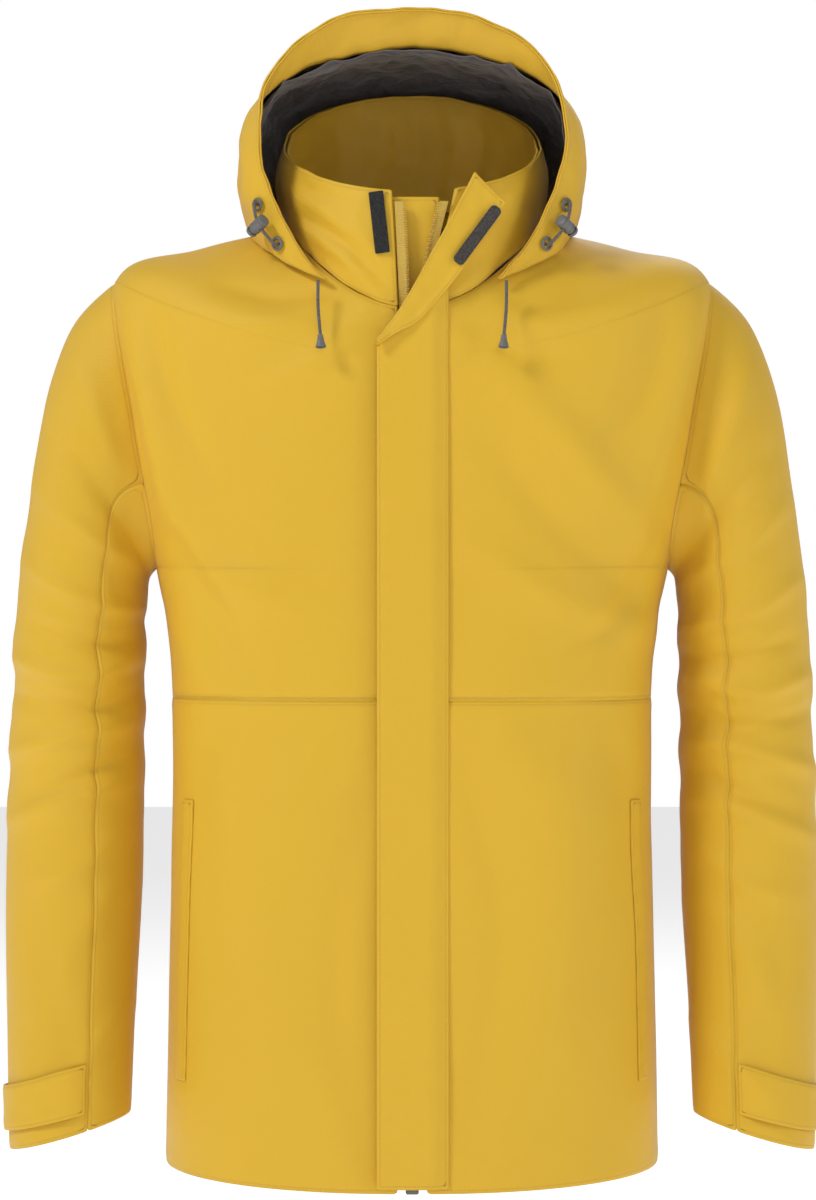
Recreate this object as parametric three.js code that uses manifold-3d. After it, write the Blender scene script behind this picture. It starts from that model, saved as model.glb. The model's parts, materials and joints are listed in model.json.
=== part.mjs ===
// A hooded waterproof ski jacket, in millimetres.
// +Z is up, the front faces -Y and the wearer's left side is at +X.
// Heights are taken from the lowest level of the hem. The finished group is then moved so that
// its origin is the resting face of the hanger loop, inside the back of the neck.

import * as THREE from "three";
import { mergeVertices } from "three/addons/utils/BufferGeometryUtils.js";
import Module from "manifold-3d";

const wasm = await Module();
wasm.setup();

const deg = Math.PI / 180;
const vec = (x, y, z) => new THREE.Vector3(x, y, z);

// ---------------------------------------------------------------- driving dimensions

// Rings of the body. height is that of the side, dip how far the front centre hangs below it,
// rise how far the back centre stands above it, back the depth behind the side line.
const hem = { height: 34, halfWidth: 196, back: 126, dip: 8, rise: -20, square: 2.7 };
const waist = { height: 400, halfWidth: 191, back: 116, dip: 0, rise: 0, square: 2.7 };
const armpit = { height: 503, halfWidth: 204, back: 126, dip: 2, rise: 2, square: 2.7 };
const blade = { height: 612, halfWidth: 233, back: 132, dip: 20, rise: 6, square: 2.7 };
const shoulderTip = { height: 731, halfWidth: 237, back: 112, dip: 66, rise: 12, square: 2.6 };
const shoulderMid = { height: 757, halfWidth: 171, back: 97, dip: 72, rise: 20, square: 2.4 };
const neck = { height: 773, halfWidth: 102, back: 86, dip: 71, rise: 26, square: 2.3 };
const sideLine = 4; // depth of the side seams and the shoulder ridge behind the frame's centre

// The front centre runs in one straight line, so that the zip can.
const frontAtHem = 141;
const frontAtNeck = 119;

const shellThickness = 1.2;
const liningThickness = 0.8;
const seamGap = 0.45; // clearance each side of a seam
const liningDepth = 13; // from the outer face of the shell to the outer face of the lining

const armholeSpread = 21; // degrees each side of the side line
const armholeGap = 3; // how far outside the armhole's edge a sleeve starts, so that it can swing

// The sleeve runs between an outer line and an inner line, [x, height], armhole to cuff.
const sleeveOuter = [[237, 731], [268, 702], [292, 640], [306, 552], [316, 470], [321, 360],
  [324, 240], [321, 130], [318, 46]];
const sleeveInner = [[206, 503], [210, 496], [213, 484], [214, 466], [214, 432], [215, 350],
  [216, 240], [220, 150], [222, 74]];
// [half depth, centre depth] at the same stations.
const sleeveDepth = [[66, 4], [72, 4], [74, 4], [73, 5], [71, 6], [65, 6], [60, -4], [56, -20], [54, -34]];
const sleeveSeam = 112; // degrees from the outer line to the front and back seams
const sleeveLiningDepth = 6;

const collar = { halfWidth: 104, front: 115, back: 80, side: 836, dip: 44, rise: 56, square: 2.2 };
const collarBulge = 6;
const collarFaceDepth = 3.4; // from the outer face of the collar to that of its facing
const openingAtNeck = 11; // half width of the front opening at the neck seam
const openingRightTop = 16; // distance of the right collar edge from the centre, at the top
const openingLeftTop = 34;

// Hood ribs are Bezier curves from the lower edge to the crown. Their control points follow these
// guides from the brim to the back of the neck.
const hoodEdge = [[67, -114, 723], [108, -84, 744], [131, -10, 772], [100, 80, 783], [32, 108, 779]];
const hoodLow = [[122, -95, 771], [142, -60, 788], [148, 20, 815], [118, 100, 815], [40, 114, 786]];
const hoodHigh = [[180, -60, 930], [178, -25, 917], [140, 70, 930], [85, 135, 885], [30, 118, 794]];
const hoodCrown = [[0, -60, 933], [0, -15, 941], [0, 60, 935], [0, 135, 880], [0, 114, 792]];
const hoodSeam = 0.72; // where the side panels meet the centre panel, from edge to crown
const facingWidth = 0.13; // share of the way from brim to back covered by the brim facing
const facingDepth = 3;
const hoodLiningDepth = 6;

const zip = { coilWidth: 2.2, coilGap: 1.6, coilHeight: 2.4, tapeThickness: 0.9, tapeWidth: 8, recess: 1,
  top: 662, bottom: 34 };
const mainSlider = { length: 14, width: 9, plate: 1.2, web: 0.8, boss: 1.1, pullLength: 30, pullWidth: 7 };
const pocketSlider = { length: 10, width: 7, plate: 0.8, web: 0.8, boss: 0.9, pullLength: 17,
  pullWidth: 4 };
const pullThickness = 0.8;
const runningGap = 0.3;

const flap = { left: -27, right: 28, bottom: 30, top: 668, lift: 5.6, thickness: 1.6, corner: 5 };
// The top of the flap, folded open over the left of the collar: its outline as seen from the front,
// in [x, height], and the turn that lays it towards the collar.
const openFlapOutline = [[-26, 674], [-12, 681], [3, 689], [19, 706], [36, 727], [72, 783], [48, 806],
  [32, 769], [15, 740], [3, 720], [-12, 695]];
const openFlapTurn = 9;
const openFlapPatch = { x: 50, height: 757, width: 8, length: 55, lean: 36 };
const underFlap = { left: -19, right: 21, depth: 8.4, thickness: 1.2, bottom: 34, top: 788 };
const patch = { width: 11, length: 48, thickness: 1, gap: 0.5, shown: 14 };
const collarPatchLean = 7;

const pocket = { angle: 68, bottom: 112, top: 314, slot: 13, welt: 17, weltLift: 0.8, zipDepth: 7 };
const pocketBag = { from: 28, to: 72, below: 26, above: 18, depth: 9.4, thickness: 1.6 };

const cuffTab = { from: 0.915, to: 0.978, lift: 2.2, thickness: 1.4, end: -14 };

const eyelet = { outer: 5.6, inner: 3.4, height: 1.5, gap: 0.8, inside: 1.2 };
const upperEyelet = { along: 0.12, up: 0.26 };
const lowerEyelet = { along: 0.12, up: 0.12 };
const cordRadius = 1.3;
const cordHole = 0.8; // clearance round a cord in a hole
const lock = { radius: 5, bore: 3.5, length: 13, floor: 1.6, head: 3, headRadius: 4.6, travel: 2,
  standOff: 10 };
const cordEnd = { top: 722, length: 42, lean: 2, forward: 8, out: 13 };
const bell = { length: 10, wide: 4.2, narrow: 2.2 };

const hanger = { width: 44, height: 16, band: 7, inset: 9, level: 792 };

// ---------------------------------------------------------------- materials

function cloth(color, roughness = 0.7) {
  return new THREE.MeshStandardMaterial({ color, roughness, metalness: 0 });
}
const shellCloth = cloth(0xe0b233, 0.62);
const liningCloth = cloth(0x3b383b, 0.5);
const hookTape = cloth(0x1c1c18, 0.9);
const loopTape = cloth(0x45403a, 0.95);
const zipTape = cloth(0xd6b144, 0.6);
const greyPlastic = cloth(0x6f7072, 0.45);
const greyCord = cloth(0x6b665e, 0.8);

// ---------------------------------------------------------------- helpers

const jacket = new THREE.Group();

function addPiece(name, geometry, material, parent = jacket) {
  const mesh = new THREE.Mesh(geometry, material);
  mesh.name = name;
  parent.add(mesh);
  return mesh;
}

const smooth = (points) => new THREE.CatmullRomCurve3(points, false, "catmullrom", 0.5);

// Turns a geometry's triangles round if it is inside out, as after a mirror.
function faceOutwards(geometry) {
  const p = geometry.getAttribute("position");
  const index = geometry.index.array;
  const [a, b, c] = [vec(), vec(), vec()];
  let volume = 0;
  for (let i = 0; i < index.length; i += 3) {
    a.fromBufferAttribute(p, index[i]);
    b.fromBufferAttribute(p, index[i + 1]);
    c.fromBufferAttribute(p, index[i + 2]);
    volume += a.dot(b.cross(c));
  }
  if (volume < 0) {
    for (let i = 0; i < index.length; i += 3) {
      [index[i + 1], index[i + 2]] = [index[i + 2], index[i + 1]];
    }
  }
  return geometry;
}

// A closed geometry with only its positions, every shared corner merged.
function welded(geometry) {
  const bare = geometry.clone();
  bare.deleteAttribute("normal");
  bare.deleteAttribute("uv");
  return mergeVertices(bare, 1e-3);
}

function solid(geometry, matrix = new THREE.Matrix4()) {
  const merged = welded(geometry).applyMatrix4(matrix);
  return new wasm.Manifold(new wasm.Mesh({
    numProp: 3,
    vertProperties: new Float32Array(merged.getAttribute("position").array),
    triVerts: new Uint32Array(merged.index.array),
  }));
}

function geometryOf(manifold) {
  const mesh = manifold.getMesh();
  const points = new Float32Array(mesh.numVert * 3);
  for (let i = 0; i < mesh.numVert; i++) {
    points.set(mesh.vertProperties.subarray(i * mesh.numProp, i * mesh.numProp + 3), i * 3);
  }
  return new THREE.BufferGeometry()
    .setAttribute("position", new THREE.BufferAttribute(points, 3))
    .setIndex(new THREE.BufferAttribute(new Uint32Array(mesh.triVerts), 1));
}

// The outward normal of a surface, which is a function of two numbers.
function normalOf(surface, a, b) {
  const step = 1e-3;
  const across = surface(a + step, b).sub(surface(a - step, b));
  const along = surface(a, b + step).sub(surface(a, b - step));
  return across.cross(along).normalize();
}

// A piece of cloth: a flat box bent onto a surface. edges(s, t) gives the place on the surface,
// for s and t from 0 to 1, and the cloth lies between two depths, outward positive.
function clothPanel(surface, edges, [outer, thickness], [across, along]) {
  const geometry = new THREE.BoxGeometry(1, 1, 1, across, along, 1);
  const p = geometry.getAttribute("position");
  for (let i = 0; i < p.count; i++) {
    const [a, b] = edges(p.getX(i) + 0.5, p.getY(i) + 0.5);
    const depth = outer - thickness * (0.5 - p.getZ(i));
    const point = surface(a, b).addScaledVector(normalOf(surface, a, b), depth);
    p.setXYZ(i, point.x, point.y, point.z);
  }
  matchDiagonals(geometry);
  return faceOutwards(geometry);
}

// Splits the cells of a box's back face along the same diagonals as those of its front face, so
// that the two stay one thickness apart where a cell is twisted.
function matchDiagonals(geometry) {
  const { start, count } = geometry.groups[5];
  const index = geometry.index;
  for (let i = start; i < start + count; i += 6) {
    const c = index.getX(i + 4);
    index.setX(i + 2, c);
    index.setX(i + 3, index.getX(i));
  }
}

const mirrored = (surface) => (a, b) => {
  const p = surface(-a, b);
  return vec(-p.x, p.y, p.z);
};

// A frame on a surface: x across, z along it, and y pointing into the cloth.
function frameOn(point, outward, up) {
  const y = outward.clone().negate();
  const x = y.clone().cross(up).normalize();
  const z = x.clone().cross(y).normalize();
  const group = new THREE.Group();
  group.applyMatrix4(new THREE.Matrix4().makeBasis(x, y, z).setPosition(point));
  return group;
}

// A flat plate with rounded corners, lying in x and z, its outer face at y = -lift.
function roundedPlate(width, length, thickness, corner, lift) {
  const shape = new THREE.Shape();
  const [w, h] = [width / 2, length / 2];
  shape.moveTo(-w + corner, -h);
  shape.lineTo(w - corner, -h);
  shape.absarc(w - corner, -h + corner, corner, -Math.PI / 2, 0, false);
  shape.absarc(w - corner, h - corner, corner, 0, Math.PI / 2, false);
  shape.absarc(-w + corner, h - corner, corner, Math.PI / 2, Math.PI, false);
  shape.absarc(-w + corner, -h + corner, corner, Math.PI, Math.PI * 1.5, false);
  const plate = new THREE.ExtrudeGeometry(shape,
    { depth: thickness, bevelEnabled: false, curveSegments: 3 });
  return plate.rotateX(Math.PI / 2).translate(0, -lift + thickness, 0);
}

const box = (w, d, h) => new THREE.BoxGeometry(w, d, h);

// ---------------------------------------------------------------- body shell

const rings = [hem, waist, armpit, blade, shoulderTip, shoulderMid, neck];
const level = { hem: 0, waist: 1, armpit: 2, blade: 3, shoulderTip: 4, neck: 6 };
const ringSizes = smooth(rings.map((r) => vec(r.halfWidth, r.back, r.height)));
const ringTilts = smooth(rings.map((r) => vec(r.dip, r.rise, r.square)));

const hemFront = hem.height - hem.dip;
const neckFront = neck.height - neck.dip;
const frontSlope = (frontAtHem - frontAtNeck) / (neckFront - hemFront);
const frontDepth = (height) => frontAtHem - frontSlope * (height - hemFront);

const bulge = (s, square) => Math.pow(Math.max(0, 1 - Math.pow(Math.abs(s), square)), 1 / square);

// The outer face of the body. angle is 0 at the front centre and 90 degrees at the wearer's left
// side, in radians; ring counts the rings from the hem.
function body(angle, ring) {
  const t = THREE.MathUtils.clamp(ring / (rings.length - 1), 0, 1);
  const size = ringSizes.getPoint(t);
  const tilt = ringTilts.getPoint(t);
  const [s, c] = [Math.sin(angle), Math.cos(angle)];
  const front = frontDepth(size.z - tilt.x) + sideLine;
  const reach = c > 0 ? -front : size.y - sideLine;
  const slope = c > 0 ? -tilt.x : tilt.y;
  return vec(size.x * s, sideLine + reach * bulge(s, tilt.z), size.z + slope * c * c);
}

const ringAtHeight = (height) => {
  let [low, high] = [0, rings.length - 1];
  while (high - low > 1e-4) {
    const middle = (low + high) / 2;
    if (body(Math.PI / 2, middle).z < height) low = middle;
    else high = middle;
  }
  return low;
};

// How far round the body a front or back panel reaches: the side seam, or the armhole's edge.
function sideEdge(ring) {
  const q = (ring - level.blade) / (level.blade - level.armpit);
  const inside = Math.abs(q) < 1 ? Math.sqrt(1 - q * q) : 0;
  return Math.PI / 2 - armholeSpread * deg * inside;
}

// Rows of an upper panel crowd together at the ends of the armhole.
function upperRow(t) {
  const [start, end] = [0.22, 0.8];
  if (t < start) return THREE.MathUtils.lerp(level.waist, level.armpit, t / start);
  if (t > end) return THREE.MathUtils.lerp(level.shoulderTip, level.neck, (t - end) / (1 - end));
  return level.blade - Math.cos(Math.PI * (t - start) / (end - start));
}

const seamAngle = seamGap / waist.halfWidth;
const seamRing = seamGap / 100;
const inset = (low, high, t, gap) => THREE.MathUtils.lerp(low + gap, high - gap, t);
const openingAngle = (ring) => Math.asin(openingAtNeck / body(Math.PI / 2, ring).x);

function frontUpper(s, t) {
  const ring = THREE.MathUtils.clamp(upperRow(t), level.waist + seamRing, level.neck - seamRing);
  return [inset(openingAngle(ring), sideEdge(ring), s, seamAngle), ring];
}

function frontLower(s, t) {
  const ring = THREE.MathUtils.lerp(level.hem, level.waist - seamRing, t);
  return [inset(openingAngle(ring), Math.PI / 2, s, seamAngle), ring];
}

function backUpper(s, t) {
  const ring = THREE.MathUtils.clamp(upperRow(t), level.waist + seamRing, level.neck - seamRing);
  return [inset(Math.PI - sideEdge(ring), Math.PI + sideEdge(ring), s, seamAngle), ring];
}

function backLower(s, t) {
  const ring = THREE.MathUtils.lerp(level.hem, level.waist - seamRing, t);
  return [inset(Math.PI / 2, Math.PI * 1.5, s, seamAngle), ring];
}

const shell = [0, shellThickness];
addPiece("front_upper_left", clothPanel(body, frontUpper, shell, [6, 15]), shellCloth);
addPiece("front_upper_right", clothPanel(mirrored(body), (s, t) => {
  const [a, r] = frontUpper(s, t);
  return [-a, r];
}, shell, [6, 15]), shellCloth);
addPiece("back_upper", clothPanel(body, backUpper, shell, [11, 15]), shellCloth);
addPiece("back_lower", clothPanel(body, backLower, shell, [12, 5]), shellCloth);

// ---------------------------------------------------------------- pockets

function pocketFrame(side) {
  const middle = (pocket.bottom + pocket.top) / 2;
  const ring = ringAtHeight(middle);
  const angle = pocket.angle * deg;
  const point = body(angle, ring);
  const outward = normalOf(body, angle, ring);
  const up = body(angle, ringAtHeight(pocket.top)).sub(body(angle, ringAtHeight(pocket.bottom)));
  point.x *= side;
  outward.x *= side;
  up.x *= side;
  return frameOn(point, outward, up.normalize());
}

const pocketLength = pocket.top - pocket.bottom;

function lowerFront(side) {
  const surface = side > 0 ? body : mirrored(body);
  const panel = clothPanel(surface, (s, t) => {
    const [a, r] = frontLower(s, t);
    return [side * a, r];
  }, shell, [6, 5]);
  const slot = box(pocket.slot, 8 * shellThickness, pocketLength);
  return geometryOf(solid(panel).subtract(solid(slot, pocketFrame(side).matrix)));
}

const profile = (points) => new THREE.Shape(points.map(([x, y]) => new THREE.Vector2(x, y)));

// A section in x and y, drawn out along z and centred on it.
function bar(points, length) {
  return new THREE.ExtrudeGeometry(profile(points), { depth: length, bevelEnabled: false })
    .translate(0, 0, -length / 2);
}

// An I section with a boss for the pull on its outer plate, in a frame whose y points inwards.
// The coil lies from y = 0 outwards, coilHeight thick.
function zipSlider(size, coilHeight) {
  const w = size.width / 2;
  const [low, high] = [runningGap, coilHeight + runningGap];
  const section = [[-w, low], [-w, low + size.plate], [w, low + size.plate], [w, low],
    [size.web / 2, low], [size.web / 2, -high], [w, -high], [w, -high - size.plate],
    [-w, -high - size.plate], [-w, -high], [-size.web / 2, -high], [-size.web / 2, low]];
  const boss = new THREE.CylinderGeometry(size.boss, size.boss, 2 * size.plate + pullThickness, 12)
    .translate(0, -high - size.plate - pullThickness / 2 - runningGap, -size.length / 4);
  return geometryOf(solid(bar(section, size.length)).add(solid(boss)));
}

// A flat tag that hangs from the slider's boss.
function zipPull(size) {
  const tag = roundedPlate(size.pullWidth, size.pullLength, pullThickness, size.pullWidth * 0.3, 0)
    .translate(0, 0, -size.pullLength / 2 + size.pullWidth / 2);
  const reach = size.boss + runningGap;
  const hole = new THREE.CylinderGeometry(reach, reach, 4 * pullThickness, 12);
  return geometryOf(solid(tag).subtract(solid(hole)));
}

function pullPlace(size, coilHeight) {
  return -coilHeight - size.plate - 2 * runningGap - pullThickness;
}

for (const [side, word] of [[1, "left"], [-1, "right"]]) {
  addPiece("front_lower_" + word, lowerFront(side), shellCloth);

  const frame = pocketFrame(side);
  jacket.add(frame);
  const deep = pocket.zipDepth;
  const chain = zip.coilHeight / 2;
  const half = zip.coilWidth + zip.coilGap / 2;
  const tape = box(pocket.slot + 6, zip.tapeThickness, pocketLength + 8)
    .translate(0, deep + zip.tapeThickness / 2, 0);
  const teeth = [-1, 1].map((hand) => box(zip.coilWidth, chain + zip.tapeThickness / 2, pocketLength)
    .translate(hand * (half - zip.coilWidth / 2), deep - chain / 2 + zip.tapeThickness / 4, 0));
  const zipSolid = teeth.reduce((joined, tooth) => joined.add(solid(tooth)), solid(tape));
  addPiece("pocket_zip_" + word, geometryOf(zipSolid), zipTape, frame);

  const w = pocketSlider.width / 2;
  const top = -chain - runningGap;
  const saddle = box(2 * w, pocketSlider.plate, pocketSlider.length)
    .translate(0, top - pocketSlider.plate / 2, 0);
  const bossLength = 2 * pocketSlider.plate + pullThickness;
  const boss = new THREE.CylinderGeometry(pocketSlider.boss, pocketSlider.boss, bossLength, 12)
    .translate(0, top - pocketSlider.plate - pullThickness / 2 - runningGap, -pocketSlider.length / 4);
  const keel = box(pocketSlider.web, chain + runningGap, pocketSlider.length)
    .translate(0, top + (chain + runningGap) / 2 - 0.1, 0);
  const slider = geometryOf(solid(saddle).add(solid(boss)).add(solid(keel)));
  const rest = pocketLength / 2 - pocketSlider.length;
  addPiece("pocket_slider_" + word, slider, greyPlastic, frame).position.set(0, deep, rest);
  const pullDepth = deep + top - pocketSlider.plate - runningGap;
  addPiece("pocket_pull_" + word, zipPull(pocketSlider), greyPlastic, frame)
    .position.set(0, pullDepth - pullThickness, rest - pocketSlider.length / 4);

  const surface = side > 0 ? body : mirrored(body);
  const weltAngle = pocket.welt / waist.halfWidth / 1.2;
  const [below, above] = [ringAtHeight(pocket.bottom - 8), ringAtHeight(pocket.top + 8)];
  addPiece("pocket_welt_" + word, clothPanel(surface, (s, t) => [
    side * (pocket.angle * deg + THREE.MathUtils.lerp(-weltAngle, weltAngle, s)),
    THREE.MathUtils.lerp(below, above, t),
  ], [pocket.weltLift + shellThickness, shellThickness], [3, 5]), shellCloth);
  const bagLow = ringAtHeight(pocket.bottom - pocketBag.below);
  const bagHigh = ringAtHeight(pocket.top + pocketBag.above);
  addPiece("pocket_bag_" + word, clothPanel(surface, (s, t) => [
    side * THREE.MathUtils.lerp(pocketBag.from, pocketBag.to, s) * deg,
    THREE.MathUtils.lerp(bagLow, bagHigh, t),
  ], [-pocketBag.depth, pocketBag.thickness], [6, 5]), liningCloth);
}

// ---------------------------------------------------------------- body lining

const liningEdge = Math.asin((underFlap.right + 6) / waist.halfWidth);
const liningPanel = clothPanel(body, (s, t) => [
  THREE.MathUtils.lerp(liningEdge, 2 * Math.PI - liningEdge, s),
  THREE.MathUtils.lerp(level.hem + 0.05, level.shoulderTip + 1.6, t),
], [-liningDepth, liningThickness], [20, 7]);
// Both armholes are cut by one oval bar that runs from side to side.
const armholeMiddle = (armpit.height + shoulderTip.height) / 2;
const armholeHalf = (shoulderTip.height - armpit.height) / 2;
const armholeBar = new THREE.CylinderGeometry(1, 1, 4 * shoulderTip.halfWidth, 16)
  .rotateZ(Math.PI / 2)
  .scale(1, sleeveDepth[0][0] - 6, armholeHalf)
  .translate(0, sideLine, armholeMiddle);
addPiece("body_lining", geometryOf(solid(liningPanel).subtract(solid(armholeBar))), liningCloth);

// ---------------------------------------------------------------- sleeves

// The arms hang further out beside a wider waist or hem than the pattern's.
const armClearance = 10;
const armShift = Math.max(0, Math.max(waist.halfWidth, hem.halfWidth) + armClearance - sleeveInner[0][0]);
const armLine = (points, from) => smooth(
  points.map(([x, z], i) => vec(x + armShift * Math.min(1, i / from), 0, z)));
const outerLine = armLine(sleeveOuter, 5);
const innerLine = armLine(sleeveInner, 2);
const depthLine = smooth(sleeveDepth.map(([half, centre]) => vec(half, centre, 0)));
const armholeBlend = 0.14; // share of the sleeve's length over which it leaves the armhole's own shape

// The outer face of the left sleeve. angle is 0 on the outer line and 90 degrees at the front;
// along is 0 at the armhole and 1 at the cuff.
function sleeve(angle, along) {
  const t = THREE.MathUtils.clamp(along, 0, 1);
  const [outer, inner, depth] = [outerLine.getPoint(t), innerLine.getPoint(t), depthLine.getPoint(t)];
  const round = inner.clone().add(outer).multiplyScalar(0.5)
    .addScaledVector(outer.clone().sub(inner), Math.cos(angle) / 2);
  round.y = depth.y - depth.x * Math.sin(angle);
  const hole = body(Math.PI / 2 - armholeSpread * deg * Math.sin(angle), level.blade + Math.cos(angle));
  hole.x += armholeGap;
  return hole.lerp(round, THREE.MathUtils.smoothstep(t, 0, armholeBlend));
}


const seamTurn = seamGap / sleeveDepth[5][0];
const seam = sleeveSeam * deg;

for (const [surface, word, hand] of [[sleeve, "left", 1], [mirrored(sleeve), "right", -1]]) {
  const lengths = (t) => Math.pow(t, 1.25);
  addPiece("sleeve_upper_" + word, clothPanel(surface,
    (s, t) => [hand * inset(-seam, seam, s, seamTurn), lengths(t)], shell, [9, 8]), shellCloth);
  addPiece("sleeve_under_" + word, clothPanel(surface,
    (s, t) => [hand * inset(seam, 2 * Math.PI - seam, s, seamTurn), lengths(t)], shell, [6, 8]), shellCloth);
  addPiece("sleeve_lining_" + word, clothPanel(surface,
    (s, t) => [hand * inset(-Math.PI, Math.PI, s, seamTurn), THREE.MathUtils.lerp(0.1, 0.985, t)],
    [-sleeveLiningDepth, liningThickness], [12, 7]), liningCloth);
  addPiece("cuff_tab_" + word, clothPanel(surface,
    (s, t) => [hand * inset(cuffTab.end * deg, seam, s, seamTurn),
      THREE.MathUtils.lerp(cuffTab.from + 0.012 * (1 - s), cuffTab.to, t)],
    [cuffTab.lift + cuffTab.thickness, cuffTab.thickness], [8, 2]), shellCloth);
}

// ---------------------------------------------------------------- collar

// The outer face of the collar, from the neck seam at height 0 to the top edge at 1.
function collarFace(angle, height) {
  const [s, c] = [Math.sin(angle), Math.cos(angle)];
  const base = body(angle, level.neck);
  const reach = c > 0 ? -(collar.front + sideLine) : collar.back - sideLine;
  const slope = c > 0 ? -collar.dip : collar.rise;
  const topY = sideLine + reach * bulge(s, collar.square);
  const top = vec(collar.halfWidth * s, topY, collar.side + slope * c * c);
  const out = vec(s, -c, 0).multiplyScalar(collarBulge * s * s * 4 * height * (1 - height));
  return base.lerp(top, height).add(out);
}

function collarEdges(s, t) {
  const left = Math.asin(THREE.MathUtils.lerp(openingAtNeck, openingLeftTop, t) / collar.halfWidth);
  const right = Math.asin(THREE.MathUtils.lerp(openingAtNeck, openingRightTop, t) / collar.halfWidth);
  return [THREE.MathUtils.lerp(left, 2 * Math.PI - right, s), THREE.MathUtils.lerp(seamRing * 3, 1, t)];
}

addPiece("collar_outer", clothPanel(collarFace, collarEdges, shell, [24, 3]), shellCloth);
addPiece("collar_facing",
  clothPanel(collarFace, collarEdges, [-collarFaceDepth, shellThickness], [24, 3]), shellCloth);

// ---------------------------------------------------------------- front closure

// A frame on the front line at the height of the hem: y points inwards and z up along the zip.
const frontLean = Math.atan(frontSlope);
const front = new THREE.Group();
front.position.set(0, -frontAtHem, hemFront);
front.rotation.x = -frontLean;
jacket.add(front);
const frontHeight = (height) => (height - hemFront) / Math.cos(frontLean);

// One half of the main zip: a tape with its coil, closed below and spread open above the slider.
function zipHalf(hand, spread) {
  const top = frontHeight(collar.side - collar.dip - 8);
  const split = frontHeight(zip.top);
  const bottom = frontHeight(zip.bottom);
  const reach = zip.coilGap / 2 + zip.coilWidth;
  const away = (z) => hand * (z < split ? 0 : spread * Math.pow((z - split) / (top - split), 1.8));
  const row = (t) => (t < 0.3 ? THREE.MathUtils.lerp(bottom, split, t / 0.3)
    : THREE.MathUtils.lerp(split, top, (t - 0.3) / 0.7));
  const strip = (from, to, outer, thickness) => clothPanel(
    (x, z) => vec(hand * x + away(z), 0, z), (s, t) => [THREE.MathUtils.lerp(from, to, s), row(t)],
    [hand * outer, hand * thickness], [1, 10]);
  const middle = zip.coilHeight / 2;
  const coil = strip(zip.coilGap / 2, reach, middle, zip.coilHeight);
  const tape = strip(reach - 0.3, zip.tapeWidth + zip.coilGap, 0.1, zip.tapeThickness);
  return geometryOf(solid(coil).add(solid(tape)));
}

// The coil lies in the thickness of the shell, set back by a share of it that keeps the two clear.
const zipLevel = zip.coilHeight / 2 + zip.recess * (2 * shellThickness - 1.4);
for (const [hand, word, spread] of [[1, "left", 18.5], [-1, "right", 4]]) {
  addPiece("zip_half_" + word, zipHalf(hand, spread), zipTape, front).position.y = zipLevel;
}

const coilBack = zipLevel + zip.coilHeight / 2;
const sliderRest = frontHeight(zip.top) - mainSlider.length / 2;
addPiece("main_zip_slider", zipSlider(mainSlider, zip.coilHeight), greyPlastic, front)
  .position.set(0, coilBack, sliderRest);
addPiece("main_zip_pull", zipPull(mainSlider), greyPlastic, front)
  .position.set(0, coilBack + pullPlace(mainSlider, zip.coilHeight), sliderRest - mainSlider.length / 4);

// The retaining box at the foot of the zip, below the coils.
addPiece("zip_box", box(10, 3.4, 8), greyPlastic, front)
  .position.set(0, zipLevel, frontHeight(zip.bottom) - 4 - runningGap);

const midway = (low, high) => (low + high) / 2;
const underLength = frontHeight(underFlap.top) - frontHeight(underFlap.bottom);
const underWidth = underFlap.right - underFlap.left;
addPiece("under_flap", box(underWidth, underFlap.thickness, underLength), shellCloth, front).position.set(
  midway(underFlap.left, underFlap.right),
  underFlap.depth,
  frontHeight(midway(underFlap.bottom, underFlap.top)),
);

const flapWidth = flap.right - flap.left;
const flapLength = frontHeight(flap.top) - frontHeight(flap.bottom);
addPiece("storm_flap",
  roundedPlate(flapWidth, flapLength, flap.thickness, flap.corner, flap.lift + flap.thickness),
  shellCloth, front)
  .position.set(midway(flap.left, flap.right), 0, frontHeight(midway(flap.bottom, flap.top)));

// Hook patches lie on the right front and loop patches face them under the flap.
const patchX = midway(flap.left, -zip.tapeWidth - 3);
const hookHeight = frontHeight(flap.top + patch.shown - patch.length / 2);
const loopHeight = frontHeight(flap.top - patch.shown - patch.length / 2);
addPiece("hook_patch_chest",
  roundedPlate(patch.width, patch.length, patch.thickness, 0.8, patch.gap + patch.thickness),
  hookTape, front).position.set(patchX, 0, hookHeight);
addPiece("loop_patch_chest",
  roundedPlate(patch.width, patch.length, patch.thickness, 3, flap.lift - patch.gap),
  loopTape, front).position.set(patchX, 0, loopHeight);

const openFlap = new THREE.Group();
openFlap.position.set(0, -flap.lift, frontHeight(flap.top));
openFlap.rotation.z = openFlapTurn * deg;
front.add(openFlap);
const aboveFlap = (height) => frontHeight(height) - frontHeight(flap.top);
const openFlapShape = profile(openFlapOutline.map(([x, height]) => [x, aboveFlap(height)]));
const openFlapCloth = new THREE.ExtrudeGeometry(openFlapShape,
  { depth: flap.thickness, bevelEnabled: false });
addPiece("storm_flap_top", openFlapCloth.rotateX(Math.PI / 2), shellCloth, openFlap);
const openPatch = addPiece("loop_patch_collar", roundedPlate(openFlapPatch.width, openFlapPatch.length,
  patch.thickness, openFlapPatch.width / 2 - 0.2, 0), loopTape, openFlap);
openPatch.position.set(
  openFlapPatch.x,
  -flap.thickness - patch.gap - patch.thickness,
  aboveFlap(openFlapPatch.height),
);
openPatch.rotation.y = openFlapPatch.lean * deg;

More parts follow.
